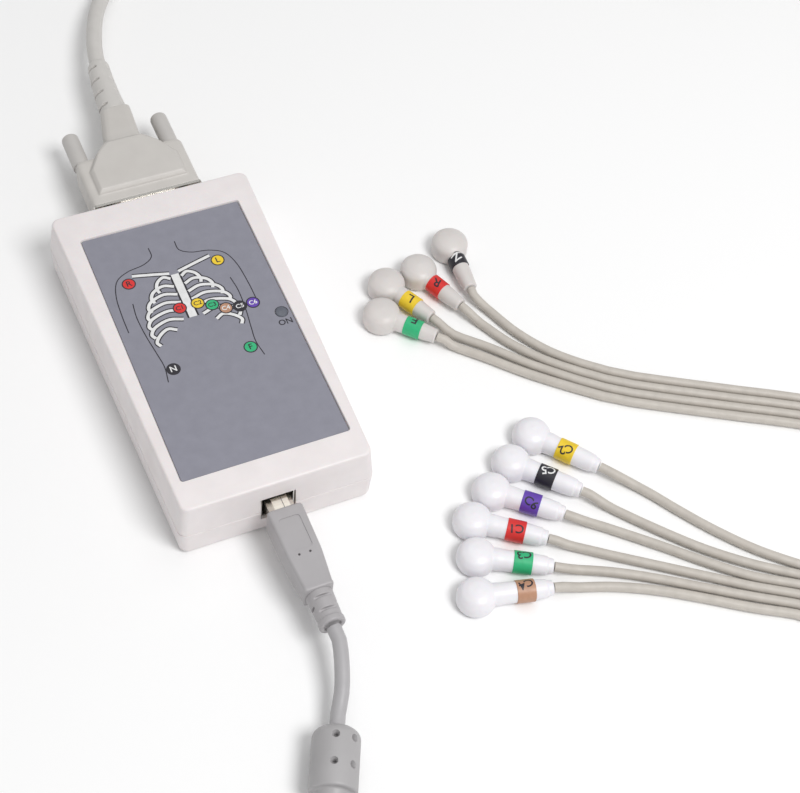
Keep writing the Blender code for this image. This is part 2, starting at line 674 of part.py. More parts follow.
def make_box():
    """The two halves of the box, with the label's pocket, the socket windows and the screw columns."""
    white = make_material("white_abs", (0.84, 0.80, 0.80), 0.42)
    seam_top = PARTING_HEIGHT + GAP / 2
    seam_base = PARTING_HEIGHT - GAP / 2
    cover = loft(
        "top_cover",
        [
            box_ring(PARTING_DRAFT, BOX_CORNER_RADIUS + PARTING_DRAFT, seam_top),
            box_ring(0, BOX_CORNER_RADIUS, BOX_HEIGHT - TOP_EDGE_RADIUS),
            box_ring(
                -TOP_EDGE_RADIUS * ARC_SHARE, BOX_CORNER_RADIUS, BOX_HEIGHT - TOP_EDGE_RADIUS * ARC_SHARE
            ),
            box_ring(-TOP_EDGE_RADIUS, BOX_CORNER_RADIUS, BOX_HEIGHT),
        ],
        white,
    )
    hollow = BOX_CORNER_RADIUS - WALL / 2
    roof = BOX_HEIGHT - ROOF
    cut(cover, loft("cover_hollow", [box_ring(-WALL, hollow, z) for z in (seam_top - OVERRUN, roof)]))
    rebate = WALL - LIP_WALL - GAP
    rebate_top = PARTING_HEIGHT + LIP_HEIGHT + GAP
    cut(
        cover,
        loft(
            "cover_rebate",
            [box_ring(PARTING_DRAFT - rebate, hollow, z) for z in (seam_top - OVERRUN, rebate_top)],
        ),
    )
    for i, (x, y) in enumerate(screw_places()):
        place = Matrix.Translation((x, y, rebate_top + GAP))
        join(
            cover,
            rod(
                f"cover_column_{i}",
                COLUMN_DIAMETER,
                roof + SEAT - rebate_top - GAP,
                SMALL_ROUND_STEPS,
                None,
                place,
            ),
        )
        bore = Matrix.Translation((x, y, seam_top - OVERRUN))
        depth = SCREW_SINK + SCREW_HEAD_HEIGHT + SCREW_LENGTH + GAP - seam_top + OVERRUN
        cut(cover, rod(f"cover_bore_{i}", SCREW_SHANK_DIAMETER + 2 * GAP, depth, BORE_STEPS, None, bore))
    cut(cover, *socket_cutters("cover"))
    pocket = rectangle(LABEL_WIDTH + 2 * GAP, LABEL_LENGTH + 2 * GAP, SEAT)
    at_label = Matrix.Translation((0, LABEL_Y, 0))
    cut(cover, prism("label_pocket", pocket, POCKET_FLOOR, BOX_HEIGHT + OVERRUN, None, at_label))
    hole = Matrix.Translation((LIGHT_X, LIGHT_Y, roof - OVERRUN))
    cut(
        cover,
        rod("light_hole", LIGHT_STEM_DIAMETER + 2 * GAP, ROOF + OVERRUN, SMALL_ROUND_STEPS, None, hole),
    )

    round_steps = [math.radians(angle) for angle in (0, 30, 60, 90)]
    rings = []
    for angle in round_steps:
        inset = BASE_EDGE_RADIUS * (1 - math.sin(angle))
        rings.append(
            box_ring(BASE_DRAFT - inset, BOX_CORNER_RADIUS, BASE_EDGE_RADIUS * (1 - math.cos(angle)))
        )
    rings.append(box_ring(PARTING_DRAFT, BOX_CORNER_RADIUS + PARTING_DRAFT, seam_base))
    base = loft("bottom_cover", rings, white)
    lip_top = PARTING_HEIGHT + LIP_HEIGHT
    lip = PARTING_DRAFT - WALL + LIP_WALL
    join(base, loft("base_lip", [box_ring(lip, hollow, z) for z in (seam_base - WALL, lip_top)]))
    inner = PARTING_DRAFT - WALL
    cut(base, loft("base_hollow", [box_ring(inner, hollow, z) for z in (FLOOR, lip_top + OVERRUN)]))
    for i, (x, y) in enumerate(screw_places()):
        place = Matrix.Translation((x, y, FLOOR - SEAT))
        join(
            base,
            rod(
                f"base_column_{i}", COLUMN_DIAMETER, seam_base - FLOOR + SEAT, SMALL_ROUND_STEPS, None, place
            ),
        )
        bore = Matrix.Translation((x, y, -OVERRUN))
        cut(base, rod(f"base_bore_{i}", SCREW_SHANK_DIAMETER + 2 * GAP, BOX_HEIGHT, BORE_STEPS, None, bore))
        sink = SCREW_SINK + SCREW_HEAD_HEIGHT + GAP + OVERRUN
        cut(base, rod(f"base_sink_{i}", SCREW_HEAD_DIAMETER + 2 * GAP, sink, SMALL_ROUND_STEPS, None, bore))
    for i, (side, end) in enumerate(((-1, -1), (1, -1), (-1, 1), (1, 1))):
        place = Matrix.Translation((side * BOARD_POST_X, BOX_Y + end * BOARD_POST_Y, FLOOR - SEAT))
        height = BOARD_UNDERSIDE - GAP - FLOOR + SEAT
        join(base, rod(f"board_post_{i}", BOARD_POST_DIAMETER, height, BORE_STEPS, None, place))
    cut(base, *socket_cutters("base"))
    return cover, base


def make_screws():
    steel = make_material("zinc_steel", (0.60, 0.60, 0.62), 0.35, 1.0)
    head = SCREW_HEAD_DIAMETER / 2
    shank = SCREW_SHANK_DIAMETER / 2
    profile = [
        (head, 0),
        (head, SCREW_HEAD_HEIGHT),
        (shank, SCREW_HEAD_HEIGHT),
        (shank, SCREW_HEAD_HEIGHT + SCREW_LENGTH),
    ]
    for i, (x, y) in enumerate(screw_places()):
        place = Matrix.Translation((x, y, SCREW_SINK))
        screw = turned(f"case_screw_{i + 1}", profile, SMALL_ROUND_STEPS, steel, place)
        slot_depth = SCREW_HEAD_HEIGHT / 2
        size = (SCREW_HEAD_DIAMETER + OVERRUN, SCREW_SLOT_WIDTH, 2 * slot_depth)
        cut(screw, box(f"case_screw_slot_{i}", size, (x, y, SCREW_SINK)))


def make_label():
    grey = make_material("label_grey", (0.30, 0.30, 0.36), 0.55)
    clear = make_material("light_window", (0.24, 0.25, 0.28), 0.30)
    plate = rectangle(LABEL_WIDTH, LABEL_LENGTH, SEAT)
    label = prism(
        "front_label", plate, LABEL_UNDERSIDE, LABEL_TOP, grey, Matrix.Translation((0, LABEL_Y, 0))
    )
    hole = Matrix.Translation((LIGHT_X, LIGHT_Y, LABEL_UNDERSIDE - OVERRUN))
    cut(
        label,
        rod("label_hole", LIGHT_DIAMETER + 2 * GAP, LABEL_THICKNESS + 2 * OVERRUN, ROUND_STEPS, None, hole),
    )
    window = LIGHT_DIAMETER / 2
    stem = LIGHT_STEM_DIAMETER / 2
    profile = [
        (stem, BOARD_TOP + GAP), (stem, LABEL_UNDERSIDE), (window, LABEL_UNDERSIDE),
        (window, LABEL_TOP),
    ]
    profile += [
        (window * out_share, LABEL_TOP + LABEL_THICKNESS * up_share)
        for out_share, up_share in LIGHT_DOME
    ]
    turned("power_light", profile, ROUND_STEPS, clear, Matrix.Translation((LIGHT_X, LIGHT_Y, 0)))


def make_board():
    green = make_material("board_green", (0.02, 0.20, 0.08), 0.45)
    black = make_material("chip_black", (0.02, 0.02, 0.02), 0.40)
    metal = make_material("crystal_metal", (0.72, 0.72, 0.74), 0.30, 1.0)
    half = BOARD_WIDTH / 2
    front = FRONT_FACE_Y + WALL + BOARD_FRONT_CLEARANCE
    back = BACK_FACE_Y - BOARD_BACK_SETBACK
    notch = half - BOARD_NOTCH_WIDTH
    near = front + BOARD_NOTCH_LENGTH
    far = back - BOARD_NOTCH_LENGTH
    outline = [
        (-notch, front), (notch, front), (notch, near), (half, near), (half, far), (notch, far),
        (notch, back), (-notch, back), (-notch, far), (-half, far), (-half, near), (-notch, near),
    ]
    prism("circuit_board", outline, BOARD_UNDERSIDE, BOARD_TOP, green)

    def on_board(name, size, place, mat):
        width, length, height = size
        edge = height / 4
        rings = [
            [(x, y, 0) for x, y in rectangle(width, length, edge, 1)],
            [(x, y, height - edge) for x, y in rectangle(width, length, edge, 1)],
            [(x, y, height) for x, y in rectangle(width - edge, length - edge, edge, 1)],
        ]
        loft(name, rings, mat, Matrix.Translation((place[0], BOX_Y + place[1], BOARD_TOP + GAP)))

    on_board(
        "processor", (PROCESSOR_SIDE, PROCESSOR_SIDE, PROCESSOR_HEIGHT), (PROCESSOR_X, PROCESSOR_Y), black
    )
    size = (CONVERTER_WIDTH, CONVERTER_LENGTH, CONVERTER_HEIGHT)
    on_board("isolating_converter", size, (CONVERTER_X, CONVERTER_Y), black)
    on_board("crystal", (CRYSTAL_WIDTH, CRYSTAL_LENGTH, CRYSTAL_HEIGHT), (CRYSTAL_X, CRYSTAL_Y), metal)


def make_usb_socket():
    metal = make_material("socket_metal", (0.70, 0.69, 0.66), 0.30, 1.0)
    white = make_material("socket_tongue", (0.82, 0.80, 0.74), 0.45)
    front = FRONT_FACE_Y + PARTING_DRAFT
    middle = (USB_X, front + USB_SHELL_DEPTH / 2, USB_CENTRE_HEIGHT)
    shell = box("usb_socket_shell", (USB_SHELL_WIDTH, USB_SHELL_DEPTH, USB_SHELL_HEIGHT), middle, metal)
    wall = 2 * USB_SHELL_WALL
    hollow = (USB_SHELL_WIDTH - wall, USB_SHELL_DEPTH + OVERRUN, USB_SHELL_HEIGHT - wall)
    cut(shell, box("usb_socket_hollow", hollow, (USB_X, middle[1] - OVERRUN, USB_CENTRE_HEIGHT)))
    back_y = front + USB_SHELL_DEPTH - OVERRUN / 2 - USB_SHELL_WALL - GAP - USB_BACK_THICKNESS / 2
    size = (hollow[0] - 2 * GAP, USB_BACK_THICKNESS, hollow[2] - 2 * GAP)
    tongue = box("usb_socket_tongue", size, (USB_X, back_y - OVERRUN / 2, USB_CENTRE_HEIGHT), white)
    reach = USB_TONGUE_LENGTH + SEAT
    tongue_y = back_y - OVERRUN / 2 - USB_BACK_THICKNESS / 2 - USB_TONGUE_LENGTH / 2 + SEAT / 2
    join(
        tongue,
        box(
            "usb_tongue", (USB_TONGUE_WIDTH, reach, USB_TONGUE_HEIGHT), (USB_X, tongue_y, USB_CENTRE_HEIGHT)
        ),
    )


def usb_metal_ring(width, height, bevel, y):
    x, z = width / 2, height / 2
    outline = [(-x, -z), (x, -z), (x, z - bevel), (x - bevel, z), (bevel - x, z), (-x, z - bevel)]
    return [(USB_X + u, y, USB_CENTRE_HEIGHT + v) for u, v in outline]


def make_usb_plug():
    """The plug's metal shell, its moulded grip and the grooved strain relief behind it."""
    metal = make_material("plug_metal", (0.74, 0.73, 0.70), 0.28, 1.0)
    grey = make_material("usb_grip_grey", (0.50, 0.48, 0.49), 0.50)
    tip = FRONT_FACE_Y + PARTING_DRAFT + USB_METAL_REACH
    root = USB_GRIP_FRONT + GAP
    shell = loft(
        "usb_plug_shell",
        [usb_metal_ring(USB_METAL_WIDTH, USB_METAL_HEIGHT, USB_METAL_BEVEL, y) for y in (root, tip)],
        metal,
    )
    wall = 2 * USB_METAL_WALL
    inner = [USB_METAL_WIDTH - wall, USB_METAL_HEIGHT - wall, USB_METAL_BEVEL - USB_METAL_WALL / 2]
    cut(
        shell,
        loft("usb_plug_bore", [usb_metal_ring(*inner, y) for y in (root + USB_METAL_WALL, tip + OVERRUN)]),
    )

    sizes = (
        (0, USB_GRIP_WIDTH - USB_METAL_WALL, USB_GRIP_HEIGHT - USB_METAL_WALL),
        (USB_METAL_WALL / 2, USB_GRIP_WIDTH, USB_GRIP_HEIGHT),
        (USB_GRIP_STRAIGHT, USB_GRIP_WAIST_WIDTH, USB_GRIP_HEIGHT),
        (USB_GRIP_LENGTH, USB_GRIP_END_WIDTH, USB_GRIP_END_HEIGHT),
    )
    rings = []
    for back, width, height in sizes:
        outline = rectangle(width, height, USB_METAL_WALL, 2)
        rings.append([(USB_X + u, USB_GRIP_FRONT - back, USB_CENTRE_HEIGHT + v) for u, v in outline])
    loft("usb_plug_grip", rings, grey)

    profile = relief_profile(
        USB_RELIEF_BASE_DIAMETER,
        USB_RELIEF_END_DIAMETER,
        USB_RELIEF_LENGTH,
        USB_RELIEF_GROOVES,
        USB_RELIEF_GROOVE_DEPTH,
    )
    place = Matrix.Translation((USB_X, USB_GRIP_END - GAP, USB_CENTRE_HEIGHT))
    turned("usb_strain_relief", profile, SMALL_ROUND_STEPS, grey, place @ AGAINST_Y)


def relief_profile(base, end, length, grooves, depth):
    """A tapering strain relief with even grooves round it."""
    profile = [(base / 2, 0)]
    pitch = length / (grooves + 1)
    for i in range(grooves):
        middle = pitch * (i + RELIEF_FIRST_SHARE)
        radius = base / 2 + (end - base) / 2 * middle / length
        half = pitch * RELIEF_GROOVE_SHARE
        near, far = middle - half, middle + half
        profile += [(radius, near), (radius - depth, near), (radius - depth, far), (radius, far)]
    profile.append((end / 2, length))
    return profile


def make_usb_cable():
    """The cable from the plug through the ferrite to its coil and to the plug for the computer."""
    grey = make_material("usb_cable_grey", (0.50, 0.49, 0.50), 0.50)
    shell = make_material("ferrite_grey", (0.52, 0.50, 0.51), 0.50)
    metal = make_material("computer_plug_metal", (0.74, 0.73, 0.70), 0.28, 1.0)
    middle = FERRITE_DIAMETER / 2
    start = (USB_X, USB_RELIEF_END - GAP, USB_CENTRE_HEIGHT)
    entry = [offset_point(FERRITE_START, FERRITE_HEADING, -d, middle) for d in (GAP, USB_CABLE_DIAMETER)]
    straight = (USB_X, USB_RELIEF_END - USB_CABLE_DIAMETER, USB_CENTRE_HEIGHT - GAP / 2)
    route = [start, straight, *USB_CABLE_ROUTE, entry[1], entry[0]]
    cable("usb_cable_front", route, USB_CABLE_DIAMETER, grey)

    edge = FERRITE_EDGE_RADIUS
    inner = middle - edge
    profile = [
        (inner, 0), (middle - edge * ARC_SHARE, edge * ARC_SHARE), (middle, edge), (
            middle, FERRITE_LENGTH - edge
        ),
        (middle - edge * ARC_SHARE, FERRITE_LENGTH - edge * ARC_SHARE), (inner, FERRITE_LENGTH),
        (FERRITE_NOSE_DIAMETER / 2, FERRITE_LENGTH), (
            FERRITE_NOSE_END_DIAMETER / 2, FERRITE_LENGTH + FERRITE_NOSE_LENGTH
        ),
    ]
    turn = Matrix.Rotation(math.radians(FERRITE_HEADING) - math.pi / 2, 4, "Z")
    place = Matrix.Translation((*FERRITE_START, middle)) @ turn @ ALONG_Y
    ferrite = turned("ferrite", profile, ROUND_STEPS, shell, place)
    for i in range(4):
        tilt = FERRITE_HOLE_TILTS[i % 2]
        along_axis = FERRITE_HOLE_FIRST + FERRITE_HOLE_PITCH * (i // 2)
        hole = Matrix.Translation((0, 0, along_axis)) @ Matrix.Rotation(math.radians(tilt), 4, "Z")
        hole = hole @ Matrix.Translation((0, -middle - OVERRUN, 0)) @ ALONG_Y
        cut(
            ferrite,
            rod(
                f"ferrite_hole_{i}",
                FERRITE_HOLE_DIAMETER,
                FERRITE_HOLE_DEPTH + OVERRUN,
                8,
                None,
                place @ hole,
            ),
        )

    coil = coil_points(
        USB_COIL_CENTRE,
        USB_COIL_RADIUS,
        USB_COIL_PITCH,
        USB_COIL_LAYER_TURNS,
        180,
        1,
        USB_CABLE_DIAMETER,
        USB_COIL_TAIL,
    )
    tube("usb_cable_coil", coil, USB_CABLE_DIAMETER, grey, 1)
    print("usb_cable_coil least gap, mm:", round(least_gap(coil, USB_CABLE_DIAMETER) * 1000, 3))
    ferrite_end = FERRITE_LENGTH + FERRITE_NOSE_LENGTH
    leave = [
        offset_point(FERRITE_START, FERRITE_HEADING, ferrite_end + d, middle)
        for d in (GAP, USB_CABLE_DIAMETER)
    ]
    back = coil[0] + Vector((0, 1, 0)) * GAP
    ahead = coil[0] + Vector((0, 1, 0)) * USB_CABLE_DIAMETER
    route = [leave[0], leave[1], *USB_TO_COIL_ROUTE, ahead, back]
    cable("usb_cable_middle", route, USB_CABLE_DIAMETER, grey)
    add_tie(
        "usb_cable_tie",
        USB_COIL_CENTRE,
        0,
        USB_COIL_RADIUS,
        USB_COIL_PITCH,
        USB_COIL_LAYER_TURNS,
        USB_CABLE_DIAMETER,
    )

    tip = coil[-1]
    grip_x = tip.x + GAP + COMPUTER_RELIEF_LENGTH
    relief = [
        (USB_CABLE_DIAMETER / 2 + SEAT, 0), (COMPUTER_GRIP_HEIGHT / 2 - SEAT, COMPUTER_RELIEF_LENGTH + SEAT)
    ]
    turn = Matrix.Rotation(math.pi / 2, 4, "Y")
    grip_height = tip.z
    rings = []
    for x, inset in ((0, SEAT), (SEAT, 0), (COMPUTER_GRIP_LENGTH - SEAT, 0), (COMPUTER_GRIP_LENGTH, SEAT)):
        outline = rectangle(COMPUTER_GRIP_WIDTH - 2 * inset, COMPUTER_GRIP_HEIGHT - 2 * inset, SEAT, 2)
        rings.append([(grip_x + x, tip.y + u, grip_height + v) for u, v in outline])
    grip = loft("computer_plug_grip", rings, grey)
    at_tip = Matrix.Translation((tip.x + GAP, tip.y, tip.z))
    join(grip, turned("computer_plug_relief", relief, SMALL_ROUND_STEPS, None, at_tip @ turn))
    metal_x = grip_x + COMPUTER_GRIP_LENGTH + GAP + COMPUTER_METAL_LENGTH / 2
    size = (COMPUTER_METAL_LENGTH, COMPUTER_METAL_WIDTH, COMPUTER_METAL_HEIGHT)
    shell = box("computer_plug_shell", size, (metal_x, tip.y, grip_height), metal)
    wall = 2 * COMPUTER_METAL_WALL
    hollow = (COMPUTER_METAL_LENGTH, COMPUTER_METAL_WIDTH - wall, COMPUTER_METAL_HEIGHT - wall)
    cut(shell, box("computer_plug_hollow", hollow, (metal_x + COMPUTER_METAL_WALL, tip.y, grip_height)))


def add_tie(name, centre, angle, radius, pitch, layer_turns, diameter):
    """A band round all the turns of a coil, where none of them climbs."""
    black = make_material(name, (0.05, 0.05, 0.05), 0.50)
    outer = radius - pitch * COIL_OPPOSITE_SHARE + diameter / 2 + TIE_CLEARANCE
    inner = radius - pitch * (layer_turns - COIL_OPPOSITE_SHARE) - diameter / 2 - TIE_CLEARANCE
    low = COIL_REST - GAP / 3
    width, height = outer - inner, pitch + diameter + 2 * GAP
    wall = TIE_WALL
    length = TIE_LENGTH_SHARE * diameter
    hole = rectangle(width, height, wall, 2)
    skin = rectangle(width + 2 * TIE_WALL, height + low + TIE_WALL - GAP / 4, wall, 2)
    place = Matrix.Rotation(math.radians(angle), 4, "Z")
    mid = (outer + inner) / 2
    base = Matrix.Translation((*centre, 0)) @ place @ Matrix.Translation((mid, -length / 2, 0)) @ ALONG_Y
    lift = (height + low + TIE_WALL) / 2
    tie = prism(name, [(x, y - lift) for x, y in skin], 0, length, black, base)
    cut(
        tie,
        prism(
            f"{name}_hole",
            [(x, y - low - height / 2) for x, y in hole],
            -OVERRUN,
            length + OVERRUN,
            None,
            base,
        ),
    )


def d_outline(grow, steps=CORNER_STEPS):
    """The D shape seen from behind the box, its long side up, grown by a distance all round."""
    top = D_WIDTH / 2 + grow
    height = D_HEIGHT / 2 + grow
    foot = top - 2 * height * math.tan(math.radians(D_SLOPE))
    return rounded_outline(
        [(-foot, -height), (foot, -height), (top, height), (-top, height)], D_CORNER_RADIUS + grow, steps
    )


def d_ring(grow, y):
    return [(PATIENT_X + u, y, PATIENT_HEIGHT + v) for u, v in d_outline(grow)]


def flange(name, front, back, mat):
    outline = rectangle(FLANGE_WIDTH, FLANGE_HEIGHT, SEAT, 2)
    return loft(
        name, [[(PATIENT_X + u, y, PATIENT_HEIGHT + v) for u, v in outline] for y in (front, back)], mat
    )


def lock_matrix(side, y):
    return Matrix.Translation((PATIENT_X + side * SCREW_LOCK_SPACING / 2, y, PATIENT_HEIGHT)) @ ALONG_Y


def make_patient_socket():
    """The socket's metal shell and flange, its insulator and the two screw locks."""
    metal = make_material("patient_socket_metal", (0.72, 0.70, 0.66), 0.28, 1.0)
    black = make_material("patient_socket_insulator", (0.04, 0.04, 0.05), 0.45)
    steel = make_material("lock_steel", (0.66, 0.64, 0.60), 0.30, 1.0)
    front = PATIENT_FLANGE_FRONT
    back = front - FLANGE_THICKNESS
    shell = flange("patient_socket_shell", back, front, metal)
    join(
        shell,
        loft("patient_socket_rim", [d_ring(0, y) for y in (back + FLANGE_THICKNESS / 2, front + D_REACH)]),
    )
    cut(
        shell,
        loft(
            "patient_socket_bore", [d_ring(-D_WALL, y) for y in (back - OVERRUN, front + D_REACH + OVERRUN)]
        ),
    )
    for side in (-1, 1):
        hole = lock_matrix(side, back - OVERRUN)
        cut(
            shell,
            rod(
                f"patient_flange_hole_{side}",
                LOCK_STEM_DIAMETER + 2 * GAP,
                2 * OVERRUN + FLANGE_THICKNESS,
                SMALL_ROUND_STEPS,
                None,
                hole,
            ),
        )
        profile = [
            (LOCK_STEM_DIAMETER / 2, -FLANGE_THICKNESS - LOCK_STEM_LENGTH), (LOCK_STEM_DIAMETER / 2, GAP),
            (LOCK_ACROSS_FLATS / 2 / math.cos(math.pi / 6), GAP), (
                LOCK_ACROSS_FLATS / 2 / math.cos(math.pi / 6), LOCK_LENGTH
            ),
        ]
        name = "screw_lock_left" if side < 0 else "screw_lock_right"
        lock = turned(name, profile, 6, steel, lock_matrix(side, front))
        bore = lock_matrix(side, front + LOCK_LENGTH - LOCK_BORE_DEPTH)
        cut(
            lock,
            rod(
                f"{name}_bore", LOCK_BORE_DIAMETER, LOCK_BORE_DEPTH + OVERRUN, SMALL_ROUND_STEPS, None, bore
            ),
        )
    inner = -(D_WALL + GAP)
    face = front + D_REACH - SEAT
    loft("patient_socket_insulator", [d_ring(inner, y) for y in (back - D_INSULATOR_DEPTH, face)], black)


def make_patient_plug():
    """The plug's metal shell, insulator, hood and thumbscrews."""
    metal = make_material("patient_plug_metal", (0.72, 0.70, 0.66), 0.28, 1.0)
    black = make_material("patient_plug_insulator", (0.05, 0.05, 0.06), 0.45)
    beige = make_material("hood_beige", (0.66, 0.62, 0.59), 0.50)
    grey = make_material("thumb_grey", (0.62, 0.60, 0.58), 0.45)
    front = PLUG_FLANGE_FRONT
    back = front + FLANGE_THICKNESS
    shell = flange("patient_plug_shell", front, back, metal)
    tip = PATIENT_FLANGE_FRONT + SEAT
    join(
        shell,
        loft("patient_plug_rim", [d_ring(GAP + PLUG_WALL, y) for y in (tip, front + FLANGE_THICKNESS / 2)]),
    )
    cut(shell, loft("patient_plug_bore", [d_ring(GAP, y) for y in (tip - OVERRUN, back + OVERRUN)]))
    for side in (-1, 1):
        hole = lock_matrix(side, front - OVERRUN)
        cut(
            shell,
            rod(
                f"plug_flange_hole_{side}",
                THUMB_BORE_DIAMETER,
                FLANGE_THICKNESS + 2 * OVERRUN,
                SMALL_ROUND_STEPS,
                None,
                hole,
            ),
        )
    face = PATIENT_SHELL_END + GAP
    loft("patient_plug_insulator", [d_ring(0, y) for y in (face, HOOD_FRONT + D_INSULATOR_DEPTH)], black)

    hood = hood_block(beige)
    cut(
        hood,
        loft(
            "hood_bore",
            [d_ring(GAP, y) for y in (HOOD_FRONT - OVERRUN, HOOD_FRONT + D_INSULATOR_DEPTH + GAP)],
        ),
    )
    for side in (-1, 1):
        hole = lock_matrix(side, HOOD_FRONT - OVERRUN)
        cut(
            hood,
            rod(
                f"hood_screw_hole_{side}",
                THUMB_BORE_DIAMETER,
                HOOD_EAR_LENGTH + 2 * OVERRUN,
                SMALL_ROUND_STEPS,
                None,
                hole,
            ),
        )
        add_thumbscrew(side, grey)


def hood_block(mat):
    corner = HOOD_CORNER_RADIUS
    ears = []
    for back, inset in (
        (0, 0),
        (HOOD_EAR_LENGTH - corner, 0),
        (HOOD_EAR_LENGTH - corner * ARC_SHARE, corner * ARC_SHARE),
        (HOOD_EAR_LENGTH, corner),
    ):
        outline = rectangle(HOOD_WIDTH - 2 * inset, HOOD_EAR_HEIGHT - inset, corner)
        ears.append([(PATIENT_X + u, HOOD_FRONT + back, PATIENT_HEIGHT + v) for u, v in outline])
    hood = loft("patient_plug_hood", ears, mat)

    def body_outline(inset):
        foot = HOOD_BODY_FOOT_HALF_WIDTH - inset
        bend = HOOD_BODY_BEND_HALF_WIDTH - inset
        neck = HOOD_NECK_HALF_WIDTH - inset
        start = HOOD_FRONT + HOOD_BODY_START + inset
        right = [
            (foot, start), (foot, HOOD_FRONT + HOOD_BODY_STRAIGHT), (
                bend, HOOD_FRONT + HOOD_BODY_BEND_LENGTH
            ),
            (neck, HOOD_FRONT + HOOD_NECK_START - inset),
        ]
        points = right + [(-x, y) for x, y in reversed(right)]
        return [(PATIENT_X + x, y) for x, y in points]

    half = HOOD_BODY_HEIGHT / 2
    shoulder = HOOD_BODY_SHOULDER
    rings = []
    for height, inset in ((-half, shoulder), (shoulder - half, 0), (half - shoulder, 0), (half, shoulder)):
        rings.append([(x, y, PATIENT_HEIGHT + height) for x, y in body_outline(inset)])
    join(hood, loft("hood_body", rings))
    necks = []
    neck_half_height = half - shoulder * HOOD_NECK_STEP_SHARE
    places = (
        (HOOD_NECK_START - HOOD_BODY_SHOULDER * 2, HOOD_NECK_HALF_WIDTH - SEAT / 2, neck_half_height),
        (HOOD_NECK_START + HOOD_BODY_SHOULDER * 2, HOOD_NECK_HALF_WIDTH - SEAT / 2, neck_half_height - SEAT),
        (HOOD_NECK_END, HOOD_NECK_END_HALF_WIDTH, HOOD_NECK_END_HEIGHT / 2),
    )
    for back, width, height in places:
        share = max(0.0, (back - HOOD_NECK_START) / (HOOD_NECK_END - HOOD_NECK_START))
        x = PATIENT_X + HOOD_NECK_SHIFT * share**HOOD_NECK_CURVE_SHARE
        outline = rectangle(2 * width, 2 * height, HOOD_NECK_CORNER)
        necks.append([(x + u, HOOD_FRONT + back, PATIENT_HEIGHT + v) for u, v in outline])
    join(hood, loft("hood_neck", necks))
    return hood


def add_thumbscrew(side, mat):
    """A thumbscrew with its origin on its axis, at the back of the hood's ear."""
    stem = THUMB_STEM_DIAMETER / 2
    knob = THUMB_DIAMETER / 2
    collar = THUMB_COLLAR_DIAMETER / 2
    edge = THUMB_EDGE_RADIUS
    tip = PATIENT_FLANGE_FRONT + LOCK_LENGTH - LOCK_BORE_DEPTH + SEAT - HOOD_EAR_BACK
    start = GAP + THUMB_COLLAR_LENGTH
    end = GAP + THUMB_LENGTH
    profile = [
        (stem - SEAT / 2, tip), (stem, tip + SEAT), (stem, GAP), (collar, GAP), (collar, start), (
            knob - edge / 2, start
        ),
        (knob, start + edge), (knob, end - edge), (knob - edge * ARC_SHARE, end - edge * ARC_SHARE), (
            knob - edge, end
        ),
    ]
    name = "thumbscrew_left" if side < 0 else "thumbscrew_right"
    screw = turned(name, profile, THUMB_STEPS, mat, lock_matrix(side, HOOD_EAR_BACK))
    x = PATIENT_X + side * SCREW_LOCK_SPACING / 2
    size = (THUMB_DIAMETER + OVERRUN, 2 * THUMB_SLOT_DEPTH, THUMB_SLOT_WIDTH)
    cut(screw, box(f"{name}_slot", size, (x, HOOD_EAR_BACK + end, PATIENT_HEIGHT)))


def frame_rings(points, radii, steps):
    """Rings of points round a route that starts along Y and stays close to it."""
    rings = []
    for i, (point, radius) in enumerate(zip(points, radii)):
        before = points[max(i - 1, 0)]
        after = points[min(i + 1, len(points) - 1)]
        ahead = (after - before).normalized() if i else Vector((0, 1, 0))
        side = ahead.cross(Vector((0, 0, 1))).normalized()
        up = side.cross(ahead)
        angles = [2 * math.pi * k / steps for k in range(steps)]
        rings.append([point + side * radius * math.cos(a) + up * radius * math.sin(a) for a in angles])
    return rings


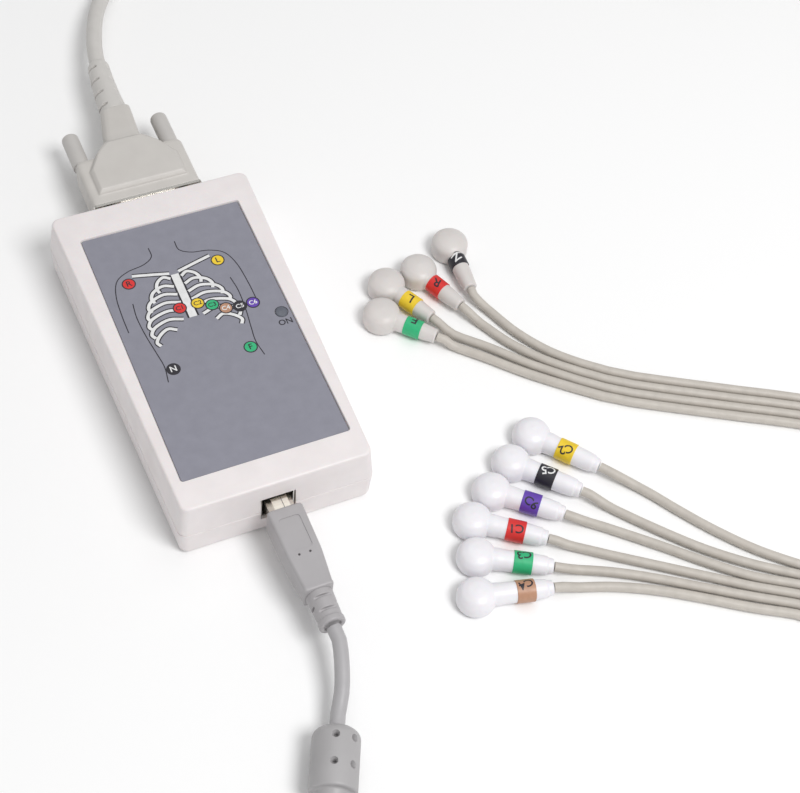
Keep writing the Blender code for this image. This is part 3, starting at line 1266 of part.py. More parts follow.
def make_trunk():
    """The patient cable: its slotted boot, the trunk, its coil and the band that holds the coil."""
    beige = make_material("trunk_beige", (0.70, 0.66, 0.64), 0.50)
    start = Vector((PATIENT_X + HOOD_NECK_SHIFT, HOOD_FRONT + HOOD_NECK_END + GAP, PATIENT_HEIGHT))
    end = start + Vector((BOOT_BEND, BOOT_LENGTH, -SEAT / 2))
    count = 2 * BOOT_SLOTS + 1
    shares = [i / count for i in range(count + 1)]
    lean = Vector((0, BOOT_LENGTH / 2, 0))
    points = [
        start.lerp(start + lean, share).lerp((start + lean).lerp(end, share), share)
        for share in shares
    ]
    radii = [(BOOT_BASE_DIAMETER + (BOOT_END_DIAMETER - BOOT_BASE_DIAMETER) * share) / 2 for share in shares]
    boot = loft("trunk_strain_relief", frame_rings(points, radii, BOOT_STEPS), beige)
    boot.data.shade_smooth()
    boot.data.set_sharp_from_angle(angle=math.radians(40))
    for i in range(BOOT_SLOTS):
        point, ahead = along(points, BOOT_LENGTH * (i + BOOT_SLOT_FIRST_SHARE) / BOOT_SLOTS)
        radius = (
            BOOT_BASE_DIAMETER + (BOOT_END_DIAMETER - BOOT_BASE_DIAMETER) * (i + 1 / 2) / BOOT_SLOTS
        ) / 2
        spun = Matrix.Translation(point) @ Matrix.Rotation(math.atan2(-ahead.x, ahead.y), 4, "Z")
        for side in (-1, 1):
            size = (2 * BOOT_SLOT_DEPTH, BOOT_SLOT_WIDTH, BOOT_SLOT_HEIGHT)
            slot = box(f"boot_slot_{i}_{side}", size, (0, 0, 0))
            slot.matrix_world = spun @ Matrix.Rotation(side * BOOT_SLOT_TILT, 4, "Y") @ Matrix.Translation(
                (side * radius, 0, 0)
            )
            cut(boot, slot)

    coil = coil_points(
        TRUNK_COIL_CENTRE,
        TRUNK_COIL_RADIUS,
        TRUNK_COIL_PITCH,
        TRUNK_COIL_LAYER_TURNS,
        90,
        -1,
        TRUNK_DIAMETER,
        TRUNK_COIL_TAIL,
    )
    tube("trunk_cable_coil", coil, TRUNK_DIAMETER, beige, 1)
    print("trunk_cable_coil least gap, mm:", round(least_gap(coil, TRUNK_DIAMETER) * 1000, 3))
    ahead = (points[-1] - points[-2]).normalized()
    step = Vector((-1, 0, 0))
    route = [points[-1] + ahead * GAP, points[-1] + ahead * TRUNK_DIAMETER, *TRUNK_ROUTE]
    route += [coil[0] + step * TRUNK_DIAMETER, coil[0] + step * GAP]
    cable("trunk_cable_start", route, TRUNK_DIAMETER, beige, 3)
    add_tie(
        "trunk_cable_tie",
        TRUNK_COIL_CENTRE,
        270,
        TRUNK_COIL_RADIUS,
        TRUNK_COIL_PITCH,
        TRUNK_COIL_LAYER_TURNS,
        TRUNK_DIAMETER,
    )

    last = coil[-1]
    down = Vector((0, -1, 0))
    relief_end = Vector((YOKE_X, YOKE_ENTRY_Y + YOKE_LENGTH + YOKE_RELIEF_LENGTH + GAP, YOKE_HEIGHT / 2))
    route = [last + down * GAP, last + down * TRUNK_DIAMETER, *TRUNK_TO_YOKE_ROUTE]
    route += [relief_end - down * TRUNK_DIAMETER, relief_end]
    cable("trunk_cable_end", route, TRUNK_DIAMETER, beige, 3)


def make_yoke():
    """The flat block where the trunk divides into the ten leads, with its strain relief."""
    beige = make_material("yoke_beige", (0.66, 0.62, 0.59), 0.50)
    middle = YOKE_HEIGHT / 2 + GAP
    places = (
        (0, YOKE_HALF_WIDTH - YOKE_EDGE, YOKE_HEIGHT - 2 * YOKE_EDGE),
        (YOKE_EDGE, YOKE_HALF_WIDTH, YOKE_HEIGHT),
        (YOKE_STRAIGHT, YOKE_HALF_WIDTH, YOKE_HEIGHT),
        (YOKE_LENGTH, YOKE_END_HALF_WIDTH, YOKE_HEIGHT),
        (YOKE_LENGTH + YOKE_EDGE, YOKE_END_HALF_WIDTH - YOKE_EDGE, YOKE_HEIGHT - 2 * YOKE_EDGE),
    )
    rings = []
    for back, half_width, height in places:
        outline = rectangle(2 * half_width, height, YOKE_CORNER_RADIUS)
        rings.append([(YOKE_X + u, YOKE_ENTRY_Y + back, middle + v) for u, v in outline])
    yoke = loft("yoke", rings, beige)
    radius = YOKE_HEIGHT / 2 - YOKE_EDGE
    profile = [(radius, YOKE_EDGE / 2), (YOKE_RELIEF_END_DIAMETER / 2, YOKE_RELIEF_LENGTH - GAP)]
    place = Matrix.Translation((YOKE_X, YOKE_ENTRY_Y + YOKE_LENGTH, YOKE_HEIGHT / 2)) @ ALONG_Y
    join(yoke, turned("yoke_relief", profile, SMALL_ROUND_STEPS, None, place))


def bundle_points(spine, lane):
    """A lead's points in its bundle: the bundle's middle line moved sideways, up to where it meets the yoke."""
    step = TUBE_STEP_SHARE * LEAD_DIAMETER
    middle = even_points(smooth_points([(*point, 0) for point in spine]), step)
    points = []
    for i, point in enumerate(middle):
        ahead = (middle[min(i + 1, len(middle) - 1)] - middle[max(i - 1, 0)]).normalized()
        spot = point + Vector((-ahead.y, ahead.x, 0)) * lane * LEAD_PITCH
        left = (point - middle[-1]).length
        share = max(0.0, 1 - left / BUNDLE_RISE_LENGTH) if i > len(middle) / 2 else 0.0
        spot.z = LEAD_LIE + BUNDLE_RISE * (1 - math.cos(math.pi * share)) / 2
        points.append(spot)
    points[-1].x = points[-2].x
    return points


def make_leads():
    """The ten electrode leads, each with the snap connector at its end."""
    sets = ((LIMB_LEADS, LIMB_BUNDLE, LIMB_SNAP_LENGTH, LIMB_BARREL_DIAMETER, "limb"),)
    sets += ((CHEST_LEADS, CHEST_BUNDLE, CHEST_SNAP_LENGTH, CHEST_BARREL_DIAMETER, "chest"),)
    for leads, bundle, length, barrel, kind in sets:
        taupe = make_material(f"lead_taupe_{kind}", (0.60, 0.54, 0.47), 0.55)
        colour = (0.70, 0.66, 0.64) if kind == "limb" else (0.85, 0.83, 0.87)
        for name, place, heading, via, lane in leads:
            shell = make_material(f"snap_{name}", colour, 0.45)
            add_snap(f"snap_{name}", place, heading, length, barrel, shell)
            start = offset_point(place, heading, length + GAP, SNAP_BARREL_HEIGHT)
            straight = offset_point(place, heading, length + LEAD_DIAMETER, SNAP_BARREL_HEIGHT - GAP / 2)
            lane_points = bundle_points(bundle, lane)
            route = [start, straight, *[(x, y, LEAD_LIE) for x, y in via], *lane_points[:2]]
            entry = Vector((lane_points[-1].x, YOKE_ENTRY_Y - GAP, lane_points[-1].z))
            points = [*route_points(route, LEAD_DIAMETER)[:-1], *lane_points[1:], entry]
            tube(f"lead_{name}", points, LEAD_DIAMETER, taupe, 1)


def add_snap(name, place, heading, length, barrel_diameter, mat):
    """A snap connector: a round head with a socket below and a barrel that takes the lead."""
    radius = SNAP_HEAD_DIAMETER / 2
    foot = SNAP_FOOT_CHAMFER
    rise = SNAP_HEIGHT - SNAP_SIDE_HEIGHT
    profile = [
        (radius - foot, GAP), (radius, GAP + foot), (radius, SNAP_SIDE_HEIGHT),
        *(
            (radius * out_share, SNAP_SIDE_HEIGHT + rise * up_share)
            for out_share, up_share in SNAP_DOME_SHARES
        ),
        (0, SNAP_HEIGHT),
    ]
    at_place = Matrix.Translation((*place, 0)) @ Matrix.Rotation(math.radians(heading), 4, "Z")
    snap = turned(name, profile, HEAD_STEPS, mat, at_place)
    barrel = barrel_diameter / 2
    taper = SNAP_BARREL_TAPER
    collar = length - SNAP_END_LENGTH
    profile = [
        (barrel - taper / 2, radius * SNAP_ROOT_SHARE), (barrel, radius + taper), (barrel - taper, collar),
        (SNAP_END_DIAMETER / 2, collar + taper), (SNAP_END_DIAMETER / 2, length),
    ]
    turn = Matrix.Translation((0, 0, SNAP_BARREL_HEIGHT)) @ Matrix.Rotation(math.pi / 2, 4, "Y")
    join(snap, turned(f"{name}_barrel", profile, BARREL_STEPS, None, at_place @ turn))
    socket = [(SNAP_SOCKET_DIAMETER / 2, -OVERRUN), (SNAP_SOCKET_DIAMETER / 2, SNAP_SOCKET_DEPTH)]
    cut(snap, turned(f"{name}_socket", socket, BORE_STEPS, None, at_place))


def main():
    clear_scene()
    make_box()
    make_screws()
    make_label()
    make_board()
    make_usb_socket()
    make_usb_plug()
    make_usb_cable()
    make_patient_socket()
    make_patient_plug()
    make_trunk()
    make_yoke()
    make_leads()


main()
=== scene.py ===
# %% [markdown]
# # A small heart monitor for a computer, with its two cables
# The box records an electrocardiogram. Ten leads with snap connectors meet in a yoke, one patient cable
# runs from there to the back of the box, and a USB cable runs from its front to a computer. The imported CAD
# model is the frame. This lesson gives it rounded mouldings, printed marks and real materials.

# %% The frame
import math

import bmesh
import bpy
from mathutils import Matrix, Vector


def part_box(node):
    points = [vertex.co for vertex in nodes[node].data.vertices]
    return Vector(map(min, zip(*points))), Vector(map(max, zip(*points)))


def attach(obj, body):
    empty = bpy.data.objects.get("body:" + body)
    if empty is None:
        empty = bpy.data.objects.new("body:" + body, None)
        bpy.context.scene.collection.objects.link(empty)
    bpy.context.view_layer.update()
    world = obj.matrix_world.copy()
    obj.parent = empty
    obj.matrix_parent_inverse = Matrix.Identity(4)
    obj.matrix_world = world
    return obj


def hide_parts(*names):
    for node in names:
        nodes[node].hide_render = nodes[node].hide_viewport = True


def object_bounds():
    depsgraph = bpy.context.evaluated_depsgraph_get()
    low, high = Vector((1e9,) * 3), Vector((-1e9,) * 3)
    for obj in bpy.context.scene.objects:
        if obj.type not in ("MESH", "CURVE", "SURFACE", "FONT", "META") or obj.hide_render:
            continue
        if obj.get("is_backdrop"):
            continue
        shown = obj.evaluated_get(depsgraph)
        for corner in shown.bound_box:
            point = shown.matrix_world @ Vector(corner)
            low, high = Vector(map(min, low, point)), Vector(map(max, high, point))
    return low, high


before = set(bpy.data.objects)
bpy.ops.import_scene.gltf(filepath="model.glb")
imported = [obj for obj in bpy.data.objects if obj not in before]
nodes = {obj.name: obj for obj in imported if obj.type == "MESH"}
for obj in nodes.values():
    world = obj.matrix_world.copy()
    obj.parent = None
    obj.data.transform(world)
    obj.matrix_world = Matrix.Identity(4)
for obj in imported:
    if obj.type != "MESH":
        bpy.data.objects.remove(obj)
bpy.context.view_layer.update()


def linked(name, data):
    """A new object that shows the data in the scene."""
    obj = bpy.data.objects.new(name, data)
    bpy.context.scene.collection.objects.link(obj)
    return obj


# %% [markdown]
# ## The camera
# The photograph was taken from the front left and above, with a long lens. Its place and turn were worked
# out from the corners of the box and of its label, so the camera's three axes are written here as they were
# found.

# %% Camera
IMAGE_WIDTH = 800
FOCAL_PIXELS = 1713.21
SENSOR_WIDTH = 36.0
CAMERA_PLACE = (-0.11371, -0.32436, 0.47273)
CAMERA_RIGHT = (0.9140429, -0.3966641, 0.0847533)
CAMERA_UP = (0.2799188, 0.7680805, 0.5759321)
CAMERA_BACK = (-0.2935489, -0.5027026, 0.8130923)

camera_data = bpy.data.cameras.new("camera")
camera_data.sensor_width = SENSOR_WIDTH
camera_data.lens = FOCAL_PIXELS * SENSOR_WIDTH / IMAGE_WIDTH
camera = linked("camera", camera_data)
turned_axes = Matrix((CAMERA_RIGHT, CAMERA_UP, CAMERA_BACK)).transposed().to_4x4()
camera.matrix_world = Matrix.Translation(CAMERA_PLACE) @ turned_axes
bpy.context.scene.camera = camera
print("lens in mm:", round(camera_data.lens, 1))

# %% [markdown]
# ## Materials
# Nearly all of the object is moulded plastic. One function makes each plastic from its colour, with a faint
# mottle in its colour and gloss and a fine grain in its surface. Metals get streaks instead, drawn along
# one way. Both read the object's own coordinates, so the grain has the same size on every piece.


# %% Material makers
def mix_node(tree, factor, first, second, blend="MIX"):
    node = tree.nodes.new("ShaderNodeMix")
    node.data_type = "RGBA"
    node.blend_type = blend
    tree.links.new(factor, node.inputs["Factor"])
    for socket, value in ((node.inputs["A"], first), (node.inputs["B"], second)):
        if isinstance(value, tuple):
            socket.default_value = (*value, 1.0)
        else:
            tree.links.new(value, socket)
    return node.outputs["Result"]


def noise_node(tree, place, scale, detail=3.0, stretch=None):
    node = tree.nodes.new("ShaderNodeTexNoise")
    node.inputs["Scale"].default_value = scale
    node.inputs["Detail"].default_value = detail
    if stretch:
        mapping = tree.nodes.new("ShaderNodeMapping")
        mapping.inputs["Scale"].default_value = stretch
        tree.links.new(place, mapping.inputs["Vector"])
        place = mapping.outputs["Vector"]
    tree.links.new(place, node.inputs["Vector"])
    return node.outputs["Fac"]


def range_node(tree, value, low, high, start=0.3, end=0.7):
    node = tree.nodes.new("ShaderNodeMapRange")
    for name, number in (("From Min", start), ("From Max", end), ("To Min", low), ("To Max", high)):
        node.inputs[name].default_value = number
    tree.links.new(value, node.inputs["Value"])
    return node.outputs["Result"]


def surface(name, colour, rough, mottle=0.035, patch=140.0, grain=0.12, fineness=2600.0, metal=0.0, stretch=None,
            specular=0.5, soft=0.0, soil=None):
    """A mottled, finely grained material. soil is a second colour that gathers in faint patches."""
    material = bpy.data.materials.new(name)
    material.use_nodes = True
    tree = material.node_tree
    shader = tree.nodes["Principled BSDF"]
    place = tree.nodes.new("ShaderNodeTexCoord").outputs["Object"]
    patches = noise_node(tree, place, patch, 4.0, stretch)
    darker = tuple(c * (1 - mottle) for c in colour)
    lighter = tuple(min(1.0, c * (1 + mottle / 2)) for c in colour)
    shade = mix_node(tree, range_node(tree, patches, 0.0, 1.0), darker, lighter)
    if soil:
        stains = noise_node(tree, place, patch / 3, 5.0)
        shade = mix_node(tree, range_node(tree, stains, 0.0, 0.35, 0.5, 0.75), shade, soil)
    tree.links.new(shade, shader.inputs["Base Color"])
    tree.links.new(range_node(tree, patches, rough + 0.04, rough - 0.04), shader.inputs["Roughness"])
    shader.inputs["Metallic"].default_value = metal
    shader.inputs["Specular IOR Level"].default_value = specular
    if soft:
        shader.inputs["Subsurface Weight"].default_value = soft
        shader.inputs["Subsurface Scale"].default_value = 0.002
    bump = tree.nodes.new("ShaderNodeBump")
    bump.inputs["Strength"].default_value = grain
    bump.inputs["Distance"].default_value = 0.00008
    tree.links.new(noise_node(tree, place, fineness, 2.0, stretch), bump.inputs["Height"])
    tree.links.new(bump.outputs["Normal"], shader.inputs["Normal"])
    return material


LOOKS = (
    ("white_abs", (0.84, 0.79, 0.79), 0.42, dict(soil=(0.78, 0.72, 0.71), grain=0.16, soft=0.04)),
    ("label_grey", (0.262, 0.262, 0.312), 0.50, dict(mottle=0.05, patch=260, grain=0.30, fineness=3800)),
    ("light_window", (0.13, 0.14, 0.17), 0.22, dict(mottle=0.12, patch=900)),
    # A near-black: the dark seam line on the USB shell, and painted shade in the openings of the computer plug's shell.
    ("dark_seam_and_painted_shade", (0.05, 0.048, 0.05), 0.60, dict()),
    ("zinc_steel", (0.60, 0.60, 0.62), 0.34, dict(metal=1.0, stretch=(1.0, 6.0, 1.0))),
    ("board_green", (0.02, 0.20, 0.08), 0.40, dict(mottle=0.3, patch=500)),
    ("chip_black", (0.02, 0.02, 0.02), 0.45, dict()),
    ("crystal_metal", (0.72, 0.72, 0.74), 0.28, dict(metal=1.0, stretch=(6.0, 1.0, 1.0))),
    ("socket_metal", (0.70, 0.69, 0.66), 0.28, dict(metal=1.0, stretch=(6.0, 1.0, 1.0))),
    ("socket_tongue", (0.80, 0.78, 0.72), 0.40, dict()),
    ("plug_metal", (0.80, 0.76, 0.68), 0.22, dict(metal=1.0, stretch=(1.0, 8.0, 1.0), mottle=0.08)),
    ("usb_grip_grey", (0.42, 0.405, 0.415), 0.46, dict(soil=(0.38, 0.36, 0.36), grain=0.25)),
    ("usb_cable_grey", (0.43, 0.42, 0.43), 0.44, dict(patch=220, grain=0.15)),
    ("ferrite_grey", (0.42, 0.41, 0.415), 0.46, dict(grain=0.22, soil=(0.37, 0.355, 0.36))),
    ("computer_plug_metal", (0.78, 0.77, 0.74), 0.24, dict(metal=1.0, stretch=(1.0, 6.0, 1.0))),
    ("tie_black", (0.035, 0.035, 0.037), 0.48, dict()),
    ("patient_socket_metal", (0.72, 0.70, 0.66), 0.28, dict(metal=1.0, stretch=(8.0, 1.0, 1.0))),
    ("patient_socket_insulator", (0.03, 0.03, 0.035), 0.45, dict()),
    ("lock_steel", (0.66, 0.64, 0.60), 0.30, dict(metal=1.0, stretch=(1.0, 1.0, 6.0))),
    ("patient_plug_metal", (0.72, 0.70, 0.66), 0.28, dict(metal=1.0, stretch=(8.0, 1.0, 1.0))),
    ("patient_plug_insulator", (0.05, 0.05, 0.06), 0.45, dict()),
    ("hood_beige", (0.60, 0.575, 0.545), 0.45, dict(soil=(0.52, 0.49, 0.46), grain=0.22)),
    ("thumb_grey", (0.55, 0.53, 0.51), 0.42, dict(soil=(0.48, 0.46, 0.44), grain=0.20)),
    ("trunk_beige", (0.62, 0.60, 0.575), 0.46, dict(patch=220, grain=0.15)),
    ("yoke_beige", (0.60, 0.575, 0.545), 0.45, dict(soil=(0.52, 0.49, 0.46), grain=0.22)),
    (
        "lead_taupe",
        (0.565, 0.525, 0.475),
        0.50,
        dict(mottle=0.07, patch=320, grain=0.2, soil=(0.50, 0.45, 0.40)),
    ),
    ("snap_grey", (0.68, 0.645, 0.625), 0.40, dict(grain=0.12, soft=0.05)),
    ("snap_white", (0.86, 0.845, 0.88), 0.38, dict(grain=0.10, soft=0.06)),
)
MATERIALS = {name: surface(name, colour, rough, **more) for name, colour, rough, more in LOOKS}
CODE_COLOURS = {
    "black": (0.022, 0.020, 0.028), "red": (0.72, 0.030, 0.028), "yellow": (0.88, 0.62, 0.030),
    "green": (0.030, 0.47, 0.20), "purple": (0.13, 0.055, 0.42), "brown": (0.50, 0.27, 0.17), "white": (
        0.80, 0.80, 0.80
    ),
}
INKS = {
    name: surface(f"ink_{name}", colour, 0.42, mottle=0.08, patch=600)
    for name, colour in CODE_COLOURS.items()
}
for node, material in (
    *((f"case_screw_{number}", "zinc_steel") for number in range(1, 5)),
    ("circuit_board", "board_green"), ("processor", "chip_black"),
    ("isolating_converter", "chip_black"), ("crystal", "crystal_metal"), (
        "usb_socket_shell", "socket_metal"
    ),
    ("usb_socket_tongue", "socket_tongue"), ("patient_socket_shell", "patient_socket_metal"),
    ("patient_socket_insulator", "patient_socket_insulator"), ("screw_lock_left", "lock_steel"),
    ("screw_lock_right", "lock_steel"), ("patient_plug_shell", "patient_plug_metal"),
    ("patient_plug_insulator", "patient_plug_insulator"), ("usb_plug_shell", "plug_metal"),
    ("computer_plug_shell", "computer_plug_metal"),
):
    for slot in nodes[node].material_slots:
        slot.material = MATERIALS[material]
print("materials made:", len(MATERIALS) + len(INKS))

# %% [markdown]
# ## Mesh tools
# A moulding is a loft of outlines, a turned piece is a spun profile, and both are cut and joined with
# Booleans. Where two shapes meet in a moulding, a voxel remesh and a few rounds of smoothing give the soft
# fillet that a mould leaves.


# %% Mesh makers
def piece(build, name, body, slot, replaces=(), sharp=35.0, material=None):
    """Makes a finished piece from a mesh: shaded by its angles, with its material, riding on its body."""
    bmesh.ops.recalc_face_normals(build, faces=build.faces)
    mesh = bpy.data.meshes.new(name)
    build.to_mesh(mesh)
    build.free()
    mesh.shade_smooth()
    mesh.set_sharp_from_angle(angle=math.radians(sharp))
    mesh.materials.append(material or MATERIALS[slot])
    obj = linked(name, mesh)
    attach(obj, body)
    if replaces:
        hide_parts(*replaces)
    return obj


def rounded_outline(corners, radius, steps=8):
    """The corners of a convex outline, counter-clockwise, each replaced by an arc."""
    points = []
    count = len(corners)
    for i in range(count):
        before, corner, after = (Vector(corners[(i + k) % count]) for k in (-1, 0, 1))
        back = (before - corner).normalized()
        ahead = (after - corner).normalized()
        half = back.angle(ahead) / 2
        centre = corner + (back + ahead).normalized() * radius / math.sin(half)
        start = corner + back * radius / math.tan(half) - centre
        for k in range(steps + 1):
            spun = Matrix.Rotation((math.pi - 2 * half) * k / steps, 2) @ start
            points.append(tuple(centre + spun))
    return points


def rectangle(width, length, radius, steps=8):
    x, y = width / 2, length / 2
    return rounded_outline([(-x, -y), (x, -y), (x, y), (-x, y)], radius, steps)


def loft(rings, matrix=None):
    """A closed mesh bridged through rings of points, all with the same number of points."""
    build = bmesh.new()
    loops = []
    for points in rings:
        corners = [build.verts.new(point) for point in points]
        loops.append([build.edges.new(pair) for pair in zip(corners, corners[1:] + corners[:1])])
    for low, high in zip(loops, loops[1:]):
        bmesh.ops.bridge_loops(build, edges=low + high)
    for loop in (loops[0], loops[-1]):
        bmesh.ops.edgenet_fill(build, edges=loop)
    bmesh.ops.recalc_face_normals(build, faces=build.faces)
    if matrix:
        build.transform(matrix)
    return build


def block(size, place, matrix=None):
    build = bmesh.new()
    bmesh.ops.create_cube(build, size=1.0)
    build.transform((matrix or Matrix()) @ Matrix.Translation(place) @ Matrix.Diagonal((*size, 1.0)))
    return build


def turned(profile, matrix=None, steps=48):
    """A profile of (radius, height) pairs spun about the vertical, with both ends filled."""
    build = bmesh.new()
    corners = [build.verts.new((radius, 0, height)) for radius, height in profile]
    edges = [build.edges.new(pair) for pair in zip(corners, corners[1:])]
    bmesh.ops.spin(
        build, geom=corners + edges, cent=(0, 0, 0), axis=(
            0, 0, 1
        ), angle=2 * math.pi, steps=steps, use_merge=True
    )
    bmesh.ops.remove_doubles(build, verts=build.verts, dist=1e-7)
    bmesh.ops.holes_fill(build, edges=[edge for edge in build.edges if edge.is_boundary])
    bmesh.ops.recalc_face_normals(build, faces=build.faces)
    build.transform(matrix or Matrix())
    return build


def rounded_profile(points, radius, steps=4):
    """A profile whose inner corners are each replaced by a small arc."""
    profile = [points[0]]
    for before, corner, after in zip(points, points[1:], points[2:]):
        before, corner, after = (Vector(point) for point in (before, corner, after))
        reach = min(radius, (before - corner).length / 2, (after - corner).length / 2)
        start = corner + (before - corner).normalized() * reach
        end = corner + (after - corner).normalized() * reach
        for k in range(steps + 1):
            share = k / steps
            profile.append(tuple(start.lerp(corner, share).lerp(corner.lerp(end, share), share)))
    return profile + [points[-1]]


def temporary(build):
    mesh = bpy.data.meshes.new("temporary")
    build.to_mesh(mesh)
    build.free()
    return linked("temporary", mesh)


def applied(obj, *spent):
    """The object's mesh with its modifiers applied. The object and its helpers are removed."""
    bpy.context.view_layer.update()
    build = bmesh.new()
    build.from_mesh(obj.evaluated_get(bpy.context.evaluated_depsgraph_get()).to_mesh())
    for used in (obj, *spent):
        bpy.data.objects.remove(used)
    return build


def combined(base, other, operation):
    obj = temporary(base)
    tool = temporary(other)
    modifier = obj.modifiers.new("combine", "BOOLEAN")
    modifier.operation = operation
    modifier.object = tool
    return applied(obj, tool)


def cut(base, *others):
    for other in others:
        base = combined(base, other, "DIFFERENCE")
    return base


def joined(base, *others):
    for other in others:
        base = combined(base, other, "UNION")
    return base


def moulded(build, voxel, rounds):
    """The mesh remade from small voxels and smoothed, so that its edges and inner corners are soft."""
    obj = temporary(build)
    remesh = obj.modifiers.new("remesh", "REMESH")
    remesh.mode = "VOXEL"
    remesh.voxel_size = voxel
    smooth = obj.modifiers.new("smooth", "SMOOTH")
    smooth.iterations = rounds
    smooth.factor = 0.5
    return applied(obj)


def copy_of(node):
    """A merged copy of a CAD node's mesh."""
    build = bmesh.new()
    build.from_mesh(nodes[node].data)
    build.transform(nodes[node].matrix_world)
    bmesh.ops.remove_doubles(build, verts=build.verts, dist=1e-6)
    bmesh.ops.dissolve_limit(build, angle_limit=math.radians(1), verts=build.verts, edges=build.edges)
    return build


def along_y(place, against=False):
    """A place whose vertical axis runs along Y, or against it."""
    turn = math.pi / 2 if against else -math.pi / 2
    return Matrix.Translation(place) @ Matrix.Rotation(turn, 4, "X")


# %% [markdown]
# ## The cords
# A cord has a real length that doesn't change, so its route comes before its looks. Each follows the same
# points as the solid it stands for. The patient cable and the USB cable are wound into coils just outside
# the picture.

# %% Cord routes
GAP = 0.0003
SMOOTH_STEPS = 12
TUBE_STEP_SHARE = 3.0
COIL_LOOP_STEPS = 24
COIL_REST = 0.0007
LEAD_DIAMETER = 0.0032
LEAD_PITCH = 0.0037
LEAD_LIE = 0.0017
BARREL_HEIGHT = 0.0038
YOKE_ENTRY_Y = -0.0700
BUNDLE_RISE = 0.0031
BUNDLE_RISE_LENGTH = 0.0260


def smooth_points(points):
    """A Catmull-Rom curve through the points."""
    route = [Vector(point) for point in points]
    route = [2 * route[0] - route[1], *route, 2 * route[-1] - route[-2]]
    curve = []
    for a, b, c, d in zip(route, route[1:], route[2:], route[3:]):
        for k in range(SMOOTH_STEPS):
            t = k / SMOOTH_STEPS
            rest = (2 * a - 5 * b + 4 * c - d) * t**2 + (3 * b - a - 3 * c + d) * t**3
            curve.append(0.5 * (2 * b + (c - a) * t + rest))
    return [*curve, route[-2]]


def length_of(points):
    return sum((b - a).length for a, b in zip(points, points[1:]))


def even_points(curve, step):
    """Points at equal distances along a curve, near the step asked for, with both ends kept."""
    lengths = [0.0]
    for a, b in zip(curve, curve[1:]):
        lengths.append(lengths[-1] + (b - a).length)
    count = max(2, round(lengths[-1] / step))
    points, index = [], 0
    for k in range(count + 1):
        wanted = lengths[-1] * k / count
        while index < len(curve) - 2 and lengths[index + 1] < wanted:
            index += 1
        span = lengths[index + 1] - lengths[index]
        share = min(1.0, (wanted - lengths[index]) / span) if span else 0.0
        points.append(curve[index].lerp(curve[index + 1], share))
    return points


def route_points(route, diameter, step_share=1.0):
    """Points along a smooth curve through a route, whose first and last stretches stay straight."""
    curve = smooth_points(route)
    middle = curve[SMOOTH_STEPS : len(curve) - SMOOTH_STEPS]
    points = [curve[0], *even_points(middle, step_share * diameter), curve[-1]]
    for point in points:
        point.z = max(point.z, diameter / 2 + LEAD_LIE - LEAD_DIAMETER / 2)
    return points


def offset_point(place, heading, distance, height):
    angle = math.radians(heading)
    return Vector((place[0] + distance * math.cos(angle), place[1] + distance * math.sin(angle), height))


def coil_points(centre, radius, pitch, layer_turns, start, turn, diameter, tail):
    """A cord wound in on the table and out again on the layer above, with a tail that comes down half a layer."""
    low = diameter / 2 + COIL_REST
    first = math.radians(start)
    loops = 2 * layer_turns + 0.25
    count = round(loops * COIL_LOOP_STEPS)
    points = []
    for i in range(count + 1):
        turns = loops * i / count
        inward = min(turns, 2 * layer_turns - turns)
        climb = min(1.0, max(0.0, (turns - layer_turns + 0.25) / 0.5))
        height = low + pitch * (1 - math.cos(math.pi * climb)) / 2
        angle = first + turn * 2 * math.pi * turns
        reach = radius - pitch * inward
        points.append(
            Vector((centre[0] + reach * math.cos(angle), centre[1] + reach * math.sin(angle), height))
        )
    last = first + turn * math.pi / 2
    ahead = Vector((-turn * math.sin(last), turn * math.cos(last), 0))
    drop = Vector((0, 0, -pitch / 2))
    end = points[-1]
    return points + [
        end + ahead * tail * share + drop * min(1.0, share / 0.7) ** 2
        for share in (0.35, 0.7, 1.0)
    ]


def bundle_points(spine, lane):
    """A lead's points in its bundle: the middle line moved sideways, up to where the leads enter the yoke."""
    middle = even_points(smooth_points([(*point, 0) for point in spine]), TUBE_STEP_SHARE * LEAD_DIAMETER)
    points = []
    for i, point in enumerate(middle):
        ahead = (middle[min(i + 1, len(middle) - 1)] - middle[max(i - 1, 0)]).normalized()
        spot = point + Vector((-ahead.y, ahead.x, 0)) * lane * LEAD_PITCH
        share = max(0.0, 1 - (point - middle[-1]).length / BUNDLE_RISE_LENGTH) if i > len(
            middle
        ) / 2 else 0.0
        spot.z = LEAD_LIE + BUNDLE_RISE * (1 - math.cos(math.pi * share)) / 2
        points.append(spot)
    points[-1].x = points[-2].x
    return points


def cord_curve(name, points, diameter, body, slot, *replaced):
    """A round cord through the points, in place of its CAD solids."""
    curve = bpy.data.curves.new(name, "CURVE")
    curve.dimensions = "3D"
    curve.bevel_depth = diameter / 2
    curve.bevel_resolution = 6
    curve.use_fill_caps = True
    spline = curve.splines.new("POLY")
    spline.points.add(len(points) - 1)
    for target, point in zip(spline.points, points):
        target.co = (*point, 1.0)
    spline.use_smooth = True
    curve.materials.append(MATERIALS[slot])
    obj = linked(name, curve)
    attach(obj, body)
    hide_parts(*replaced)
    return obj


# %% Cable curves
USB_CABLE_DIAMETER = 0.0047
USB_X, USB_Z = -0.0003, 0.0128
USB_RELIEF_END_Y = -0.11085
FERRITE_PLACE = (-0.0106, -0.1397)
FERRITE_HEADING = -115.8
FERRITE_RADIUS = 0.0073
FERRITE_LENGTH = 0.0200
FERRITE_NOSE = 0.0050
TRUNK_DIAMETER = 0.0060
BOOT_START = Vector((0.0039, 0.11125, 0.0130))
BOOT_END = Vector((0.0059, 0.13805, 0.0126))
BOOT_LEAN = Vector((0, 0.0134, 0))
YOKE_X = 0.2862
YOKE_RELIEF_END_Y = -0.0117

